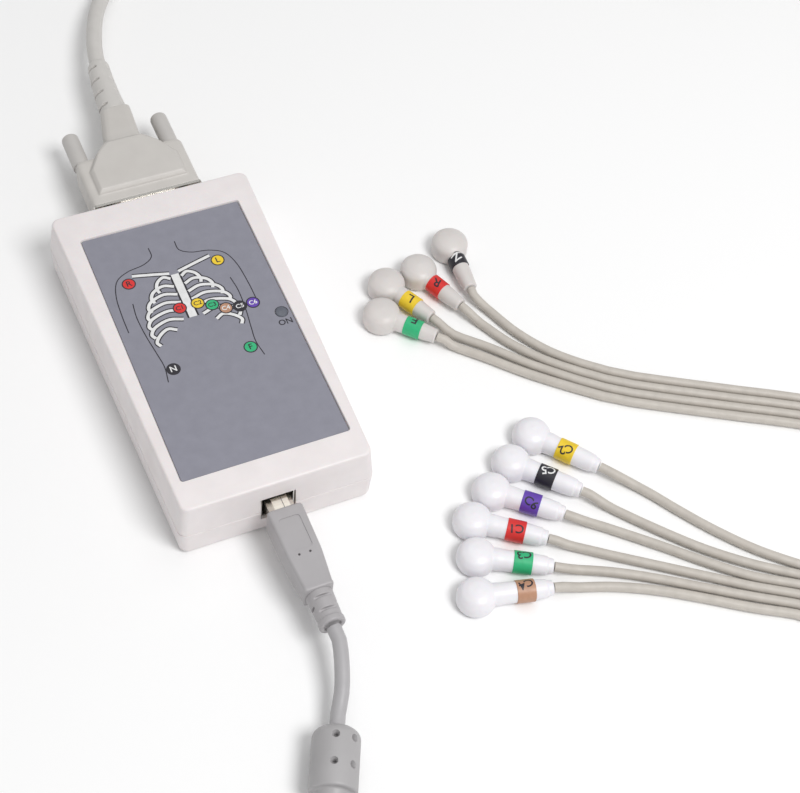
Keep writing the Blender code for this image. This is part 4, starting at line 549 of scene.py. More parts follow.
usb_front = route_points(
    [
        (USB_X, USB_RELIEF_END_Y - GAP, USB_Z), (
            USB_X, USB_RELIEF_END_Y - USB_CABLE_DIAMETER, USB_Z - GAP / 2
        ),
        (-0.0022, -0.1225, 0.0110), (-0.0050, -0.1296, 0.0092),
        *(
            offset_point(FERRITE_PLACE, FERRITE_HEADING, -d, FERRITE_RADIUS)
            for d in (USB_CABLE_DIAMETER, GAP)
        ),
    ],
    USB_CABLE_DIAMETER, 0.7,
)
usb_coil = coil_points((0.0050, -0.2214), 0.0364, 0.0055, 3, 180, 1, USB_CABLE_DIAMETER, 0.0220)
through = FERRITE_LENGTH + FERRITE_NOSE
usb_middle = route_points(
    [
        *(
            offset_point(FERRITE_PLACE, FERRITE_HEADING, through + d, FERRITE_RADIUS)
            for d in (GAP, USB_CABLE_DIAMETER)
        ),
        (-0.0270, -0.1760, 0.0056), (-0.0306, -0.1900, 0.0036),
        *(usb_coil[0] + Vector((0, 1, 0)) * d for d in (USB_CABLE_DIAMETER, GAP)),
    ],
    USB_CABLE_DIAMETER,
)
usb_route = usb_front + usb_middle + usb_coil
usb_cord = cord_curve(
    "usb_cord", usb_route, USB_CABLE_DIAMETER, "usb_cable", "usb_cable_grey",
    "usb_cable_front", "usb_cable_middle", "usb_cable_coil",
)

TRUNK_ROUTE = (
    (0.0069, 0.1450, 0.0124), (0.0091, 0.1533, 0.0113), (0.0135, 0.1662, 0.0092), (0.0196, 0.1790, 0.0062),
    (0.0290, 0.1925, 0.0038), (0.0440, 0.2035, 0.0031), (0.0700, 0.2090, 0.0031), (0.1100, 0.2105, 0.0031),
    (0.1500, 0.2110, 0.0031), (0.2000, 0.2113, 0.0031),
)
TRUNK_TO_YOKE_ROUTE = (
    (0.3008, 0.1180, 0.0031), (0.2998, 0.0900, 0.0031), (0.2940, 0.0580, 0.0032), (0.2880, 0.0300, 0.0038),
    (0.2864, 0.0080, 0.0046),
)
trunk_coil = coil_points((0.2565, 0.1690), 0.0425, 0.0065, 2, 90, -1, TRUNK_DIAMETER, 0.0260)
leave = (BOOT_END - BOOT_START - BOOT_LEAN).normalized()
trunk_start = route_points(
    [BOOT_END + leave * GAP, BOOT_END + leave * TRUNK_DIAMETER, *TRUNK_ROUTE,
     *(trunk_coil[0] - Vector((1, 0, 0)) * d for d in (TRUNK_DIAMETER, GAP))],
    TRUNK_DIAMETER,
)
yoke_mouth = Vector((YOKE_X, YOKE_RELIEF_END_Y, 0.0048))
trunk_end = route_points(
    [*(trunk_coil[-1] - Vector((0, 1, 0)) * d for d in (GAP, TRUNK_DIAMETER)), *TRUNK_TO_YOKE_ROUTE,
     yoke_mouth + Vector((0, TRUNK_DIAMETER, 0)), yoke_mouth],
    TRUNK_DIAMETER,
)
trunk_route = trunk_start + trunk_coil + trunk_end
trunk_cord = cord_curve(
    "trunk_cord", trunk_route, TRUNK_DIAMETER, "patient_cable", "trunk_beige",
    "trunk_cable_start", "trunk_cable_coil", "trunk_cable_end",
)
print(
    "USB cable and patient cable in mm:",
    round(1000 * length_of(usb_route)),
    round(1000 * length_of(trunk_route)),
)

# %% [markdown]
# ## The electrode leads
# Four leads go to the limbs and six to the chest. Each runs alone from its snap connector, then lies beside
# its neighbours in a flat bundle. A lead's colour and code are the ones that the trade has agreed on for
# its place.

# %% Lead curves
LIMB_BUNDLE = (
    (0.1181, -0.0464), (0.1255, -0.0525), (0.1333, -0.0578), (0.1480, -0.0662), (0.1660, -0.0762), (
        0.1840, -0.0862
    ),
    (0.2020, -0.0985), (0.2180, -0.1160), (0.2285, -0.1390), (0.2335, -0.1640), (0.2420, -0.1860), (
        0.2565, -0.1950
    ),
    (0.2690, -0.1860), (0.2740, -0.1640), (0.2748, -0.1350), (0.2748, -0.1050), (0.2748, -0.0760),
)
CHEST_BUNDLE = (
    (0.1472, -0.1468), (0.1655, -0.1615), (0.1845, -0.1780), (0.2030, -0.1975), (0.2215, -0.2180), (
        0.2430, -0.2300
    ),
    (0.2660, -0.2270), (0.2830, -0.2090), (0.2916, -0.1820), (0.2936, -0.1500), (0.2936, -0.1150), (
        0.2936, -0.0760
    ),
)
# Each lead: name, band colour, letter colour, middle of its snap, heading of its barrel in degrees, the
# points that it passes, its place in the bundle, and how its code is turned: about the barrel and on its
# surface, in degrees.
LIMB_LEADS = (
    ("n", "black", "white", (0.0989, 0.0205), -93.0,
     ((0.1005, -0.0090), (0.1057, -0.0218), (0.1130, -0.0332)), 1.5, (-12, 200)),
    ("r", "red", "black", (0.0833, 0.0131), -67.0,
     ((0.0958, -0.0145), (0.1016, -0.0255), (0.1098, -0.0360)), 0.5, (-10, 200)),
    ("l", "yellow", "black", (0.0701, 0.0111), -63.0,
     ((0.0848, -0.0158), (0.0938, -0.0246), (0.1038, -0.0356)), -0.5, (-8, 190)),
    ("f", "green", "black", (0.0632, -0.0007), -45.5,
     ((0.0832, -0.0208), (0.0916, -0.0289), (0.1018, -0.0394)), -1.5, (18, 180)),
)
CHEST_LEADS = (
    ("c2", "yellow", "black", (0.0907, -0.0642), -50.0,
     ((0.1170, -0.0951), (0.1243, -0.1063), (0.1317, -0.1170), (0.1415, -0.1289)), 2.5, (-24, 215)),
    ("c5", "black", "white", (0.0795, -0.0716), -46.3,
     ((0.1040, -0.0982), (0.1104, -0.1060), (0.1193, -0.1162), (0.1275, -0.1246), (0.1384, -0.1338)), 1.5, (8, 205)),
    ("c6", "purple", "black", (0.0687, -0.0793), -41.0,
     ((0.0945, -0.1004), (0.1028, -0.1076), (0.1135, -0.1174), (0.1246, -0.1280), (0.1354, -0.1372)), 0.5, (-30, -25)),
    ("c1", "red", "black", (0.0581, -0.0874), -35.8,
     ((0.0855, -0.1066), (0.0965, -0.1145), (0.1095, -0.1236), (0.1215, -0.1320), (0.1335, -0.1404)), -0.5, (-18, 190)),
    ("c3", "green", "black", (0.0537, -0.0999), -29.0,
     ((0.0835, -0.1150), (0.0950, -0.1205), (0.1075, -0.1280), (0.1195, -0.1359), (0.1315, -0.1436)), -1.5, (16, 195)),
    ("c4", "brown", "black", (0.0477, -0.1129), -13.5,
     ((0.0810, -0.1208), (0.0925, -0.1250), (0.1050, -0.1313), (0.1172, -0.1389), (0.1293, -0.1469)), -2.5, (12, 200)),
)
LIMB_KIND = {
    "leads": LIMB_LEADS, "bundle": LIMB_BUNDLE, "length": 0.0206, "barrel": 0.0063, "slot": "snap_grey"
}
CHEST_KIND = {
    "leads": CHEST_LEADS, "bundle": CHEST_BUNDLE, "length": 0.0247, "barrel": 0.0070, "slot": "snap_white"
}
lead_cords = {}
for kind in (LIMB_KIND, CHEST_KIND):
    for name, _, _, place, heading, via, lane, _ in kind["leads"]:
        start = offset_point(place, heading, kind["length"] + GAP, BARREL_HEIGHT)
        straight = offset_point(place, heading, kind["length"] + LEAD_DIAMETER, BARREL_HEIGHT - GAP / 2)
        lane_points = bundle_points(kind["bundle"], lane)
        route = [start, straight, *[(x, y, LEAD_LIE) for x, y in via], *lane_points[:2]]
        entry = Vector((lane_points[-1].x, YOKE_ENTRY_Y - GAP, lane_points[-1].z))
        points = [*route_points(route, LEAD_DIAMETER)[:-1], *lane_points[1:], entry]
        lead_cords[name] = points[::-1]
print("leads in mm:", {name: round(1000 * length_of(points)) for name, points in lead_cords.items()})

# %% [markdown]
# ## The box
# The box is moulded in two halves whose walls lean outward to the seam, so that each half comes out of its
# mould. Each half is a loft of the box's plan. The cover has a shallow pocket for its label, with a
# softened rim.

# %% Box sizes and makers
BOX_Y = -0.00175
BOX_LENGTH = 0.1250
BOX_BACK_WIDTH = 0.0703
BOX_FRONT_WIDTH = 0.0631
BOX_HEIGHT = 0.0247
SEAM_HEIGHT = 0.0115
SEAM_DRAFT = 0.0011
BASE_DRAFT = 0.0008
CORNER_RADIUS = 0.0028
TOP_EDGE = 0.0008
BASE_EDGE = 0.0026
WALL = 0.0020
LABEL_Y = -0.00245
LABEL_WIDTH = 0.0558
LABEL_LENGTH = 0.1020
LABEL_TOP = 0.0241
LABEL_UNDERSIDE = 0.0237
PATIENT_X = 0.0015
PATIENT_Z = 0.0130
SCREW_SPACING = 0.03332
light_low, light_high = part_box("power_light")
LIGHT_PLACE = ((light_low[0] + light_high[0]) / 2, (light_low[1] + light_high[1]) / 2)


def box_ring(grow, height, radius=CORNER_RADIUS):
    back = BOX_BACK_WIDTH / 2 + grow
    front = BOX_FRONT_WIDTH / 2 + grow
    end = BOX_LENGTH / 2 + grow
    corners = [(-front, BOX_Y - end), (front, BOX_Y - end), (back, BOX_Y + end), (-back, BOX_Y + end)]
    return [(x, y, height) for x, y in rounded_outline(corners, radius)]


def quarter(radius, steps=6):
    """Pairs of (inset, drop) round a quarter circle, from its side to its top."""
    for k in range(steps + 1):
        angle = math.pi / 2 * k / steps
        yield radius * (1 - math.cos(angle)), radius * (1 - math.sin(angle))


def socket_windows():
    """What both halves leave free for the sockets in the end walls."""
    front = BOX_Y - BOX_LENGTH / 2
    back = BOX_Y + BOX_LENGTH / 2
    yield block((0.0118, 4 * WALL, 0.0106), (USB_X, front, USB_Z))
    yield block((0.0268, 4 * WALL, 0.0102), (PATIENT_X, back, PATIENT_Z))
    for side in (-1, 1):
        middle = (PATIENT_X + side * SCREW_SPACING / 2, back - 2 * WALL, PATIENT_Z)
        yield turned([(0.0032, 0), (0.0032, 4 * WALL)], along_y(middle), 24)


# %% Cover and base
seam_low = SEAM_HEIGHT - GAP / 2
seam_high = SEAM_HEIGHT + GAP / 2
SEAM_BEVEL = 0.00025
rings = [box_ring(SEAM_DRAFT - SEAM_BEVEL, seam_high), box_ring(SEAM_DRAFT, seam_high + SEAM_BEVEL)]
rings += [box_ring(-inset, BOX_HEIGHT - drop) for inset, drop in quarter(TOP_EDGE)]
cover = loft(rings)
cover = cut(cover, loft([box_ring(-WALL, z, 0.0016) for z in (seam_high - WALL, BOX_HEIGHT - 0.0026)]))
POCKET_RIM = 0.0003
pocket = [
    (-0.0001, LABEL_UNDERSIDE - GAP), (0.0, BOX_HEIGHT - POCKET_RIM), (0.0001, BOX_HEIGHT - POCKET_RIM / 3),
    (POCKET_RIM, BOX_HEIGHT + 0.0001),
]
pocket_rings = []
for grow, height in pocket:
    outline = rectangle(LABEL_WIDTH + 2 * (GAP + grow), LABEL_LENGTH + 2 * (GAP + grow), 0.0010 + grow)
    pocket_rings.append([(x, LABEL_Y + y, height) for x, y in outline])
cover = cut(cover, loft(pocket_rings), *socket_windows())
hole = Matrix.Translation((*LIGHT_PLACE, 0.0210))
cover = cut(cover, turned([(0.0018, 0), (0.0018, 0.0060)], hole, 32))
piece(cover, "cover_moulding", "module", "white_abs", ["top_cover"])

rings = [box_ring(BASE_DRAFT - inset, drop) for inset, drop in reversed(list(quarter(BASE_EDGE)))]
rings += [box_ring(SEAM_DRAFT, seam_low - SEAM_BEVEL), box_ring(SEAM_DRAFT - SEAM_BEVEL, seam_low)]
base = loft(rings)
base = cut(base, loft([box_ring(-WALL, z, 0.0016) for z in (0.0024, seam_low + WALL)]), *socket_windows())
for number in range(1, 5):
    low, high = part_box(f"case_screw_{number}")
    x, y = (low[0] + high[0]) / 2, (low[1] + high[1]) / 2
    sink = turned([(0.0024, -WALL), (0.0024, 0.0029)], Matrix.Translation((x, y, 0)), 32)
    base = cut(base, sink)
piece(base, "base_moulding", "module", "white_abs", ["bottom_cover"])
lip = [box_ring(SEAM_DRAFT - 0.0010, z, 0.0026) for z in (SEAM_HEIGHT - 0.0008, SEAM_HEIGHT + 0.0008)]
inner_lip = [box_ring(SEAM_DRAFT - 0.0018, z, 0.0020) for z in (SEAM_HEIGHT - 0.0018, SEAM_HEIGHT + 0.0018)]
piece(cut(loft(lip), loft(inner_lip), *socket_windows()), "seam_lip", "module", "white_abs")
print("box pieces made")

# %% [markdown]
# ## The label and its light
# The label is a printed film in the pocket, a little lower than the cover. A small round window for the
# power light looks out through it. The film's surface has a fine emboss, finer than the grain of the cover.

# %% Label plate and light window
label_rings = []
for inset, height in ((0.0, LABEL_UNDERSIDE), (0.0, LABEL_TOP - 0.00010), (0.00010, LABEL_TOP)):
    outline = rectangle(LABEL_WIDTH - 2 * inset, LABEL_LENGTH - 2 * inset, 0.0009)
    label_rings.append([(x, LABEL_Y + y, height) for x, y in outline])
at_light = Matrix.Translation((*LIGHT_PLACE, LABEL_TOP))
label = cut(loft(label_rings), turned([(0.0023, -0.0010), (0.0023, 0.0010)], at_light))
piece(label, "label_film", "module", "label_grey", ["front_label"])
dome = [
    (0.0, -0.0030),
    (0.0014, -0.0030),
    (0.0014, -0.0004),
    (0.0021, -0.0004),
    (0.0021, -0.00005),
    (0.0019, 0.00012),
]
dome += [(0.0019 * math.cos(a / 8), 0.00012 + 0.00025 * math.sin(a / 8)) for a in range(1, 12)] + [
    (0.0, 0.00037)
]
piece(turned(dome, at_light), "light_lens", "module", "light_window", ["power_light"])

# %% [markdown]
# ## The print on the label
# The print is a plain chart of where the ten electrodes go: the outline of a chest, its ribs, and ten
# coloured spots. Printed lines are curves that are made into a mesh and pressed almost flat, so that each
# colour is one thin layer of ink. The chart is symmetrical, and its left half is mirrored from its right.

# %% Ink makers
CHART_PLACE = Vector((-0.0030, LABEL_Y + 0.0050, LABEL_TOP))
INK_LOW, INK_MIDDLE, INK_HIGH, INK_TOP = 0.000012, 0.000024, 0.000034, 0.000046


def both_sides(lines):
    return [*lines, *([(-x, y) for x, y in line] for line in lines)]


def printed_lines(name, colour, lines, width, thickness):
    """Lines of ink through points in millimetres, rounded at their ends, pressed flat on the label."""
    curve = bpy.data.curves.new(name, "CURVE")
    curve.dimensions = "3D"
    curve.bevel_depth = width / 2
    curve.bevel_resolution = 2
    curve.use_fill_caps = True
    for line in lines:
        points = smooth_points([(x / 1000, y / 1000, 0) for x, y in line])
        spline = curve.splines.new("POLY")
        spline.points.add(len(points) - 1)
        for target, point in zip(spline.points, points):
            target.co = (*point, 1.0)
    build = applied(linked(name, curve))
    build.transform(Matrix.Translation(CHART_PLACE) @ Matrix.Diagonal((1, 1, 2 * thickness / width, 1)))
    return piece(build, name, "module", None, material=INKS[colour])


def letters(text, size):
    """The flat mesh of a text, centred."""
    curve = bpy.data.curves.new("letters", "FONT")
    curve.body = text
    curve.size = size
    curve.align_x = "CENTER"
    curve.align_y = "CENTER"
    curve.resolution_u = 3
    curve.offset = size / 60
    return applied(linked("letters", curve))


def flat_letters(text, size, x, y, height):
    build = letters(text, size)
    build.transform(Matrix.Translation((x, y, LABEL_TOP + height)))
    return build


def printed(name, colour, builds):
    """One piece of ink from several flat meshes, each turned face up."""
    whole = bmesh.new()
    for build in builds:
        mesh = bpy.data.meshes.new(name)
        build.to_mesh(mesh)
        build.free()
        whole.from_mesh(mesh)
        bpy.data.meshes.remove(mesh)
    extruded = bmesh.ops.extrude_face_region(whole, geom=list(whole.faces))["geom"]
    raised = [item for item in extruded if isinstance(item, bmesh.types.BMVert)]
    bmesh.ops.translate(whole, verts=raised, vec=(0, 0, INK_LOW / 2))
    return piece(whole, name, "module", None, material=INKS[colour])


def disc(radius, x, y, height):
    build = bmesh.new()
    bmesh.ops.create_circle(build, cap_ends=True, radius=radius, segments=32)
    build.transform(Matrix.Translation((x, y, LABEL_TOP + height)))
    return build


# %% Chart
OUTLINE = [
    [
        (4.6, 36.0),
        (4.9, 32.0),
        (8.5, 29.6),
        (14.5, 28.4),
        (19.0, 25.6),
        (21.2, 19.5),
        (21.9, 11.0),
        (22.0, 4.0),
    ],
    [(17.0, 15.0), (17.6, 9.0), (17.2, 1.0), (16.2, -7.0), (15.6, -13.0), (16.4, -19.0)],
]
RIB_WIDTHS = (7.6, 10.6, 12.8, 14.2, 15.0, 15.2, 14.6)
ribs = []
for number, width in enumerate(RIB_WIDTHS):
    top = 21.0 - 3.5 * number
    start = 1.9 if number < 5 else 3.4 * (number - 4)
    ribs.append([(start, top), (0.42 * width + start / 2, top + 1.3), (0.86 * width, top - 0.2), (width, top - 2.7),
                 (0.95 * width, top - 4.6)])
collars = [[(1.6, 23.2), (7.0, 24.6), (13.6, 26.2)]]
breastbone = [[(0.0, 22.4), (0.0, 12.0), (0.0, 3.4)]]
printed_lines("ink_chest_outline", "black", both_sides(OUTLINE), 0.00036, INK_LOW)
printed_lines("ink_rib_edges", "black", both_sides(ribs + collars), 0.00195, INK_LOW)
printed_lines("ink_ribs", "white", both_sides(ribs + collars), 0.00130, INK_MIDDLE)
printed_lines("ink_breastbone_edge", "black", breastbone, 0.00400, INK_LOW * 1.5)
printed_lines("ink_breastbone", "white", breastbone, 0.00335, INK_MIDDLE * 1.1)
SPOTS = (
    ("R", "red", "black", -15.6, 23.4), ("L", "yellow", "black", 15.6, 23.4), (
        "N", "black", "white", -13.2, -14.6
    ),
    ("F", "green", "black", 13.2, -14.6), ("C1", "red", "black", -3.1, 8.2), (
        "C2", "yellow", "black", 3.1, 8.2
    ),
    ("C3", "green", "black", 7.4, 6.0), ("C4", "brown", "white", 11.2, 3.2), (
        "C5", "black", "white", 15.8, 2.4
    ),
    ("C6", "purple", "white", 20.4, 2.4),
)
spot_places = [
    (code, ink, letter, CHART_PLACE.x + x / 1000, CHART_PLACE.y + y / 1000)
    for code, ink, letter, x, y in SPOTS
]
printed("ink_spot_rims", "black", [disc(0.00235, x, y, INK_MIDDLE) for *_, x, y in spot_places])
for colour in sorted({spot[1] for spot in spot_places}):
    discs = [disc(0.00195, x, y, INK_HIGH) for _, ink, _, x, y in spot_places if ink == colour]
    printed(f"ink_spots_{colour}", colour, discs)
for colour in ("black", "white"):
    marks = []
    for code, _, letter, x, y in spot_places:
        if letter == colour:
            marks.append(flat_letters(code, 0.0031 if len(code) == 1 else 0.0024, x, y, INK_TOP))
    if colour == "black":
        marks.append(flat_letters("ON", 0.0031, LIGHT_PLACE[0] - 0.0002, LIGHT_PLACE[1] - 0.0044, INK_LOW))
    printed(f"ink_codes_{colour}", colour, marks)

# %% [markdown]
# ## The USB plug
# The plug's grip is moulded over a metal shell, in one piece with a slotted strain relief. It stays
# straight for more than half its length and then tapers. A shallow bare panel and two small dimples are
# sunk in its top.

# %% Grip, relief and shell seam
GRIP_FRONT_Y = -0.06935
GRIP_SIZES = (
    (0.0, 0.0105, 0.0102), (0.0003, 0.0113, 0.0110), (0.0009, 0.0117, 0.0114), (0.0168, 0.0113, 0.01135),
    (0.0186, 0.0111, 0.0112), (0.0284, 0.0094, 0.0094), (0.0289, 0.00965, 0.00965), (0.0295, 0.0095, 0.0095),
    (0.0298, 0.0088, 0.0088),
)
grip_rings = []
for behind, width, height in GRIP_SIZES:
    outline = rectangle(width, height, 0.0010, 6)
    grip_rings.append([(USB_X + u, GRIP_FRONT_Y - behind, USB_Z + v) for u, v in outline])
grip = loft(grip_rings)
GRIP_TOP = USB_Z + 0.0057
PANEL_BEHIND = 0.0100
DIMPLE_BEHIND = 0.0176
DIMPLE_ACROSS = 0.0018
DIMPLE_RADIUS = 0.00042
RELIEF_BEHIND = 0.0300
panel = [(0.0034, 0.0060, -0.0003), (0.0036, 0.0061, 0.0006)]
panel_rings = []
for half_width, half_length, height in panel:
    outline = rectangle(2 * half_width, 2 * half_length, 0.0011, 6)
    panel_rings.append([(USB_X + u, GRIP_FRONT_Y - PANEL_BEHIND + v, GRIP_TOP + height) for u, v in outline])
dimples = []
for side in (-1, 1):
    at = Matrix.Translation((USB_X + side * DIMPLE_ACROSS, GRIP_FRONT_Y - DIMPLE_BEHIND, GRIP_TOP - 0.0012))
    dimples.append(turned([(DIMPLE_RADIUS, 0), (DIMPLE_RADIUS, 0.003)], at, 16))
grip = cut(grip, loft(panel_rings), *dimples)
piece(grip, "usb_grip", "usb_cable", "usb_grip_grey", ["usb_plug_grip"], 50)

relief_profile = rounded_profile(
    [(0.0, -0.0004), (0.0044, -0.0004), (0.0040, 0.0090), (0.0043, 0.0093), (0.0043, 0.0112), (0.0028, 0.0112),
     (0.0026, 0.0104), (0.0, 0.0104)], 0.0006,
)
relief = turned(relief_profile, along_y((USB_X, GRIP_FRONT_Y - RELIEF_BEHIND, USB_Z), against=True))
slots = []
for behind, across, out, side in (
    (0.0024, 0.0064, 0.0043, 0), (0.0068, 0.0064, 0.0041, 0), (0.0046, 0.0044, 0.0042, 1)
):
    for sign in (-1, 1):
        spin = Matrix.Rotation(side * math.pi / 2, 4, "Y")
        at = Matrix.Translation((USB_X, GRIP_FRONT_Y - RELIEF_BEHIND - behind, USB_Z))
        slots.append(block((across, 0.0009, 0.0022), (0, 0, sign * out), at @ spin))
relief = moulded(cut(relief, *slots), 0.00016, 2)
piece(relief, "usb_relief", "usb_cable", "usb_grip_grey", ["usb_strain_relief"], 60)
seam_top = USB_Z + 0.00389
seam = block((0.00018, 0.0108, 0.00006), (USB_X + 0.0006, GRIP_FRONT_Y + 0.0058, seam_top))
piece(seam, "usb_shell_seam", "usb_cable", None, material=MATERIALS["dark_seam_and_painted_shade"])

# %% [markdown]
# ## The ferrite
# A ferrite ring inside the thick grey sleeve keeps radio noise off the cable. The four small holes are left
# by the pins that held the ring in its mould.

# %% Ferrite sleeve
FERRITE_HOLES = ((3.0, 0.0046), (-46.0, 0.0046), (3.0, 0.0128), (-46.0, 0.0128))
sleeve_profile = rounded_profile(
    [(0.0, 0.0), (0.0046, 0.0), (0.0073, 0.0022), (0.0073, 0.0200), (0.0056, 0.0200), (0.0052, 0.0203), (0.0038, 0.0250),
     (0.0, 0.0250)], 0.0015, 6,
)
turn = Matrix.Rotation(math.radians(FERRITE_HEADING) - math.pi / 2, 4, "Z")
at_ferrite = Matrix.Translation((*FERRITE_PLACE, FERRITE_RADIUS)) @ turn @ Matrix.Rotation(
    -math.pi / 2, 4, "X"
)
sleeve = turned(sleeve_profile, at_ferrite, 64)
for tilt, behind in FERRITE_HOLES:
    hole = at_ferrite @ Matrix.Translation((0, 0, behind)) @ Matrix.Rotation(math.radians(tilt), 4, "Z")
    hole = hole @ along_y((0, -0.0090, 0))
    funnel = [(0.0013, 0), (0.0012, 0.0018), (0.0008, 0.0022), (0.0007, 0.0044)]
    sleeve = cut(sleeve, turned(funnel, hole, 24))
ferrite = piece(sleeve, "ferrite_sleeve", "usb_cable", "ferrite_grey", ["ferrite"], 45)

# %% [markdown]
# ## The patient plug
# The hood is a soft-cornered moulding with a raised middle between its two ears. It narrows through a
# sloping neck to a slotted boot, which keeps the cable from kinking. A long thumbscrew stands in each ear.

# %% Hood, thumbscrews and boot
HOOD_EAR_BACK = 0.08895
hood = moulded(copy_of("patient_plug_hood"), 0.00030, 4)
piece(hood, "hood_moulding", "patient_cable", "hood_beige", ["patient_plug_hood"], 80)
for side, name in ((-1, "left"), (1, "right")):
    knob_profile = rounded_profile(
        [(0.0, -0.0232), (0.0011, -0.0232), (0.00135, -0.0225), (0.00135, 0.0003), (0.0025, 0.0003), (0.0025, 0.0015),
         (0.0031, 0.0015), (0.0031, 0.0166), (0.0, 0.0166)], 0.0011, 6,
    )
    at_knob = along_y((PATIENT_X + side * SCREW_SPACING / 2, HOOD_EAR_BACK, PATIENT_Z))
    knob = turned(knob_profile, at_knob, 40)
    knob = cut(knob, block((0.0064, 0.0010, 0.0024), (0, 0, 0.0166), at_knob))
    piece(knob, f"thumbscrew_{name}_knob", f"thumbscrew_{name}", "thumb_grey", [f"thumbscrew_{name}"], 40)

BOOT_RINGS = 44
BOOT_STEPS = 36
BOOT_RADII = (0.0052, 0.0040)
boot_line = []
for i in range(BOOT_RINGS + 1):
    share = i / BOOT_RINGS
    bend = BOOT_START + BOOT_LEAN
    boot_line.append(BOOT_START.lerp(bend, share).lerp(bend.lerp(BOOT_END, share), share))
boot_rings, boot_frames = [], []
for i, point in enumerate(boot_line):
    share = i / BOOT_RINGS
    ahead = (boot_line[min(i + 1, BOOT_RINGS)] - boot_line[max(i - 1, 0)]).normalized() if i else Vector(
        (0, 1, 0)
    )
    side = ahead.cross(Vector((0, 0, 1))).normalized()
    up = side.cross(ahead)
    radius = BOOT_RADII[0] + (BOOT_RADII[1] - BOOT_RADII[0]) * share - 0.0005 * max(0.0, share - 0.97) / 0.03
    boot_frames.append((Matrix((side, ahead, up)).transposed().to_4x4(), radius))
    angles = [2 * math.pi * k / BOOT_STEPS for k in range(BOOT_STEPS)]
    boot_rings.append([point + side * radius * math.cos(a) + up * radius * math.sin(a) for a in angles])
boot = loft(boot_rings)
for number in range(4):
    index = round(BOOT_RINGS * (number + 0.45) / 4)
    frame_turn, radius = boot_frames[index]
    at = Matrix.Translation(boot_line[index]) @ frame_turn
    left = at @ Matrix.Rotation(0.55, 4, "Y") @ Matrix.Translation((-radius, 0, 0))
    right = at @ Matrix.Rotation(-0.55, 4, "Y") @ Matrix.Translation((radius, 0, 0))
    boot = cut(
        boot, block((0.0034, 0.0009, 0.0052), (0, 0, 0), left), block(
            (0.0016, 0.0012, 0.0056), (0.0003, 0, 0), right
        ),
        turned([(0.0007, -0.0016), (0.0007, 0.0016)], left @ Matrix.Translation((0.0006, 0, 0.0026)), 16),
    )
boot = moulded(boot, 0.00018, 2)
piece(boot, "boot_moulding", "patient_cable", "trunk_beige", ["trunk_strain_relief"], 70)
print("plug pieces made")

# %% [markdown]
# ## The snap connectors
# A head with a socket below clips onto an electrode, and a barrel takes the lead. Head and barrel are
# joined and remeshed, so that they flow into each other as in one moulding. A coloured band carries the
# lead's code.

# %% Snap makers
HEAD_EDGE = 0.0008
SOCKET_RADIUS = 0.0022
SOCKET_DEPTH = 0.0030
SNAP_VOXEL = 0.00020
BAND_WIDTH = 0.0060
BAND_LIFT = 0.00018
BAND_EDGE = 0.00008
CODE_LIFT = 0.00004
SHORT_CODE_SIZE = 0.0046
LONG_CODE_SIZE = 0.0041
LIMB_HEAD = [(0.0, 0.0003), (0.0057, 0.0003), (0.0065, 0.0011), (0.0065, 0.0054), (0.0061, 0.0066), (0.0046, 0.0078),
             (0.0024, 0.0084), (0.0, 0.0087)]
CHEST_HEAD = [(0.0, 0.0003), (0.0054, 0.0003), (0.0064, 0.0014), (0.0065, 0.0040), (0.0062, 0.0056), (0.0051, 0.0073),
              (0.0031, 0.0083), (0.0, 0.0087)]


def snap(kind, place, heading):
    """A snap connector and the matrix of its barrel, whose X runs along the barrel and whose Z is up."""
    spot = Matrix.Translation((*place, 0)) @ Matrix.Rotation(math.radians(heading), 4, "Z")
    head_profile = LIMB_HEAD if kind is LIMB_KIND else CHEST_HEAD
    head = turned(rounded_profile(head_profile, HEAD_EDGE), spot, 64)
    head = cut(head, turned([(SOCKET_RADIUS, -0.001), (SOCKET_RADIUS, SOCKET_DEPTH)], spot, 32))
    barrel = kind["barrel"] / 2
    length = kind["length"]
    collar = [(0.0026, length - 0.0017), (0.0025, length - 0.0003), (0.0021, length), (0.0, length)]
    profile = [(0.0, 0.0024), (barrel + 0.0001, 0.0030), (barrel + 0.0002, 0.0066), (barrel, 0.0085),
               (barrel - 0.0002, length - 0.0055), (barrel - 0.0005, length - 0.0022), (0.0026, length - 0.0019)]
    lying = spot @ Matrix.Translation((0, 0, BARREL_HEIGHT)) @ Matrix.Rotation(math.pi / 2, 4, "Y")
    whole = joined(head, turned(rounded_profile(profile + collar, 0.0004), lying, 48))
    return moulded(whole, SNAP_VOXEL, 3), spot @ Matrix.Translation((0, 0, BARREL_HEIGHT))


def band(barrel_matrix, radius, middle, width):
    profile = [(0.0, -width / 2), (radius - BAND_EDGE, -width / 2), (radius, BAND_EDGE - width / 2),
               (radius, width / 2 - BAND_EDGE), (radius - BAND_EDGE, width / 2), (0.0, width / 2)]
    return turned(
        profile,
        barrel_matrix @ Matrix.Translation((middle, 0, 0)) @ Matrix.Rotation(math.pi / 2, 4, "Y"),
        48,
    )


def band_letters(text, size, barrel_matrix, radius, middle, about, spin):
    """Letters bent round a barrel. about is where they stand round it, and spin how they are turned on it."""
    build = letters(text, size)
    bmesh.ops.triangulate(build, faces=build.faces)
    for _ in range(3):
        long_edges = [edge for edge in build.edges if edge.calc_length() > size / 7]
        bmesh.ops.subdivide_edges(build, edges=long_edges, cuts=1)
        bmesh.ops.triangulate(build, faces=build.faces)
    build.transform(Matrix.Rotation(math.radians(spin), 4, "Z"))
    for vertex in build.verts:
        angle = math.radians(about) + vertex.co.y / radius
        along = middle + vertex.co.x
        vertex.co = barrel_matrix @ Vector((along, radius * math.sin(angle), radius * math.cos(angle)))
    return build


